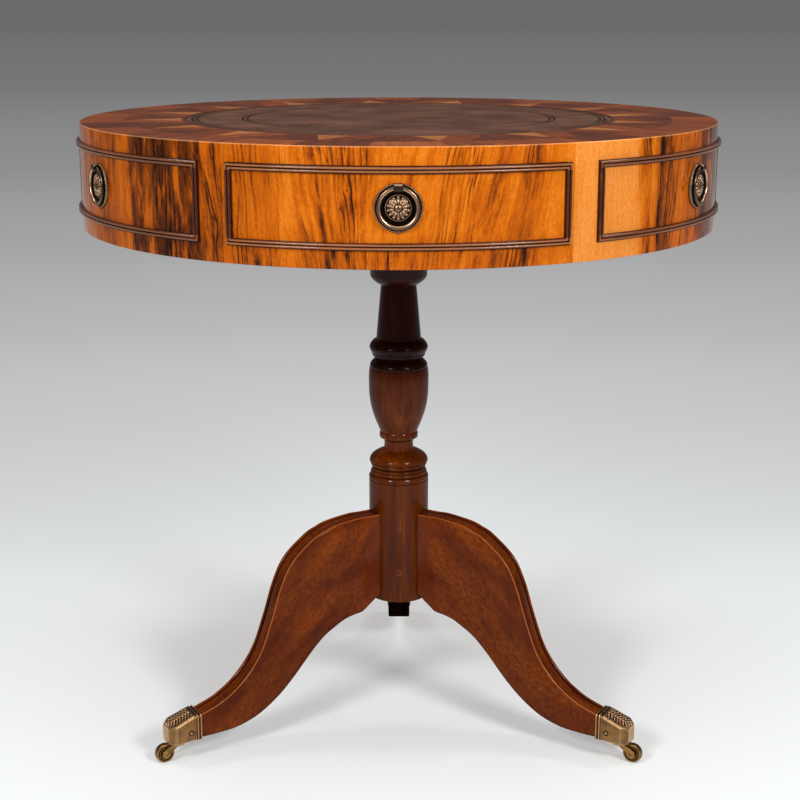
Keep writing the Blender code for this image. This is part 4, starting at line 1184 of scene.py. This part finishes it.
shape = bmesh.new()
crest_layer = shape.verts.layers.float.new("crest")
profile = [(0.0, 0.0), (PLATE_RADIUS, 0.0), (PLATE_RADIUS, 1.3), (PLATE_RADIUS - 0.4, 2.0), (PLATE_RADIUS - 1.1, 2.4)]
profile += [(PLATE_RADIUS - 1.6, 2.2), (PLATE_RADIUS - 1.9, 1.5), (PLATE_RADIUS - 2.1, 1.1), (16.2, 1.0), (15.9, 1.4)]
profile += [(15.5, 1.4), (15.2, 1.0)]
profile += [(13.4, 1.0), (13.2, 2.2), (12.8, 2.8), (12.3, 2.8), (11.9, 2.0), (11.0, 1.9), (9.4, 3.0), (6.5, 4.2)]
profile += [(3.6, 4.9), (3.2, 5.8), (2.3, 6.4), (1.2, 6.7), (0.0, 6.8)]
turned(shape, in_metres(profile), 72, facing)
for number in range(BEADS):
    turn = math.tau * number / BEADS
    out = PLATE_RADIUS - 0.9
    place = Matrix.Translation((out * math.sin(turn) * MM, out * math.cos(turn) * MM, 2.0 * MM))
    bossed(shape, facing @ place, (0.8, 0.8, 0.7), 8, 6)
for number in range(PETALS):
    turn = Matrix.Rotation(math.tau * number / PETALS, 4, "Z")
    lean = Matrix.Rotation(math.radians(-22), 4, "X")
    bossed(shape, facing @ turn @ Matrix.Translation((0, 7.4 * MM, 3.6 * MM)) @ lean, (1.5, 3.4, 1.3))
    bossed(shape, facing @ turn @ Matrix.Translation((0, 10.4 * MM, 2.9 * MM)), (1.3, 1.1, 1.1), 10, 6)
# The eye: a short barrel across the top on a squared stalk
barrel = [(0.0, -EYE_HALF), (EYE_RADIUS - 0.6, -EYE_HALF), (EYE_RADIUS, -EYE_HALF + 0.6)]
barrel += [(r, -h) for r, h in reversed(barrel)]
sideways = Matrix.Translation((0, RING_RADIUS * MM, ring_out)) @ Matrix.Rotation(math.radians(90), 4, "Y")
turned(shape, in_metres(barrel), 28, facing @ sideways)
# The plate's foot comes to a slight point under the ring
point = [(-4.2, -PLATE_RADIUS + 0.6), (0.0, -PLATE_RADIUS - 1.3)]
point += [(4.2, -PLATE_RADIUS + 0.6), (0.0, -PLATE_RADIUS + 3.0)]
lofted(shape, [[facing @ Vector((x * MM, y * MM, h * MM)) for x, y in point] for h in (0.0, 1.5)])
# The eye, the rim and the well lie where no finger rubs them, the well deepest
RIM_CREST, WELL_CREST = -0.36, -0.57
for vert in shape.verts:
    spread = math.hypot(vert.co.x, vert.co.z - plate_middle) / MM
    vert[crest_layer] = WELL_CREST if spread > ROSETTE_RADIUS else 0.0
    if spread > PLATE_RADIUS - RIM_WIDTH:
        vert[crest_layer] = RIM_CREST
plate_mesh = meshed(shape, "handle_plate")

shape = bmesh.new()
tube = []
for i in range(15):
    turn = -math.tau * i / 14
    tube.append(((RING_RADIUS + RING_TUBE * math.cos(turn)) * MM, RING_TUBE * math.sin(turn) * MM))
crest_layer = shape.verts.layers.float.new("crest")
turned(shape, tube, 72, facing @ Matrix.Translation((0, 0, ring_out)))
# Fingers hook the ring from inside and rub it there; the pale inner side is also a painted highlight
# and the dark outer side painted shade
for vert in shape.verts:
    spread = math.hypot(vert.co.x, vert.co.z - plate_middle) / MM
    vert[crest_layer] = 0.6 * (RING_RADIUS - spread) / RING_TUBE
ring_mesh = meshed(shape, "handle_ring")

# Cast brass darkened to bronze: pinkish brown where fingers rub it, near black in the hollows; the
# ring's pale inner side is partly a painted highlight and its dark outer side painted shade.
bronzed_brass = brass("bronzed_cast_brass", "#150c08", "#7a573e", "#deb896", (0.32, 0.46))
handled_brass = brass("bronzed_wrought_brass", "#1c100a", "#5d412e", "#c9a585", (0.24, 0.36))
for front, turn in front_turns.items():
    for piece, mesh, finish, body, node in (
        ("plate", plate_mesh, bronzed_brass, carriers[front], "backplate"),
        ("hanging_ring", ring_mesh, handled_brass, f"{front}_pull", "ring"),
    ):
        fitted(f"{front}_{piece}", mesh, finish, body, [f"{front}_{node}"], turn)


# Inside, each drawer is a dovetailed box of planed oak, and oak guides behind the dummies keep
# the drawers straight. These are the frame's own solids, in a new finish.
oak, tree, shader = new_finish("planed_oak")
spot = add(tree, "TexCoord", out="Object")
# Dry unpolished oak: straw to honey brown with open pores; they are 0.3 mm, drawn 0.8 mm to show
colour, fibre = long_grain(
    tree, spot, (34, 34, 0.8), (120, 120, 9),
    [(0.3, "#744c2a"), (0.46, "#9a6c40"), (0.6, "#b28254"), (0.75, "#c59a6a")],
)
surfaced(tree, shader, colour, fibre, 0.12 * MM, (0.55, 0.75), Specular_IOR_Level=0.3)
for name, node in frame["nodes"].items():
    if name.endswith(("_left_side", "_right_side", "_back", "_bottom", "_guide")):
        node.data.materials.clear()
        node.data.materials.append(oak)


# The studio: a pale sweep of floor that fades into a backdrop graded from white to grey, two soft
# boxes in front at either hand, two smaller ones at the sides and one overhead.
FLOOR = "#f9feff"
AMBIENT = "#6a6a6a"
FAR_GREY = "#6b6b6b"
FLOOR_HALF = 90.0
FADE_START, FADE_END = 0.5, 2.2
# Greys of the backdrop by distance from the table, in metres
backdrop = [
    (0.4, "#fbfbfb"), (0.95, "#dcdcdc"), (1.55, "#cccccc"), (2.44, "#b9b9b9"), (3.9, "#a6a6a6"), (6.7, "#8f8f8f"),
    (14, "#777777"), (40, FAR_GREY),
]
shape = bmesh.new()
bmesh.ops.create_grid(shape, x_segments=1, y_segments=1, size=FLOOR_HALF)
floor = bpy.data.objects.new("studio_floor", meshed(shape, "studio_floor"))
bpy.context.scene.collection.objects.link(floor)
paper, tree, shader = new_finish("pale_backdrop_paper")
spot = add(tree, "TexCoord", out="Object")
far = add(tree, "VectorMath", {0: spot}, out="Value", operation="LENGTH")
fade = ranged(tree, far, FADE_START, FADE_END, 0.22, interpolation_type="SMOOTHSTEP")
shader.inputs["Base Color"].default_value = linear(FLOOR)
shader.inputs["Roughness"].default_value = 0.85
shader.inputs["Specular IOR Level"].default_value = 0.2
reach = ranged(tree, far, 0.0, backdrop[-1][0])
graded = [(distance / backdrop[-1][0], code) for distance, code in backdrop]
grey = add(tree, "ValToRGB", {"Fac": reach}, stops=graded)
glow = add(tree, "Emission", {"Color": grey})
mixed = add(tree, "MixShader", {0: fade, 1: shader.outputs["BSDF"], 2: glow})
tree.links.new(mixed, tree.nodes["Material Output"].inputs["Surface"])
floor.data.materials.append(paper)

world = bpy.data.worlds.new("studio")
bpy.context.scene.world = world
world.use_nodes = True
tree = world.node_tree
seen = add(tree, "LightPath", out="Is Camera Ray")
mirrored, through = seen.node.outputs["Is Glossy Ray"], seen.node.outputs["Is Transmission Ray"]
seen = maths(tree, "MAXIMUM", seen, mirrored)
seen = maths(tree, "MAXIMUM", seen, through)
colour = tinted(tree, linear(AMBIENT), seen, FAR_GREY)
tree.links.new(colour, tree.nodes["Background"].inputs["Color"])

SOFT_BOXES = {
    "left_soft_box": (-34, 29, 2.7, 0.6, 34),
    "right_soft_box": (36, 29, 2.7, 0.6, 40),
    "left_side_box": (-105, 52, 2.6, 0.5, 9),
    "right_side_box": (105, 52, 2.6, 0.5, 9),
    "overhead_soft_box": (0, 80, 2.4, 1.8, 26),
}
AIM = Vector((0, 0, 0.45))
for name, (across_degrees, up_degrees, distance, size, power) in SOFT_BOXES.items():
    lamp = bpy.data.lights.new(name, "AREA")
    lamp.size = size
    lamp.energy = power
    box = bpy.data.objects.new(name, lamp)
    bpy.context.scene.collection.objects.link(box)
    bearing, rise = math.radians(across_degrees), math.radians(up_degrees)
    away = Vector((math.sin(bearing) * math.cos(rise), -math.cos(bearing) * math.cos(rise), math.sin(rise)))
    box.location = AIM + away * distance
    box.rotation_euler = away.to_track_quat("Z", "Y").to_euler()

# The camera stands where the photograph was taken, level from side to side and looking down
camera = bpy.data.objects.new("camera", bpy.data.cameras.new("camera"))
bpy.context.scene.collection.objects.link(camera)
camera.data.sensor_width = 36.0
camera.data.lens = 72.84
camera.location = (0.0016, -1.929, 0.8915)
camera.rotation_euler = (math.radians(75.82), 0, 0)
bpy.context.scene.camera = camera
bpy.context.scene.view_settings.view_transform = "Standard"
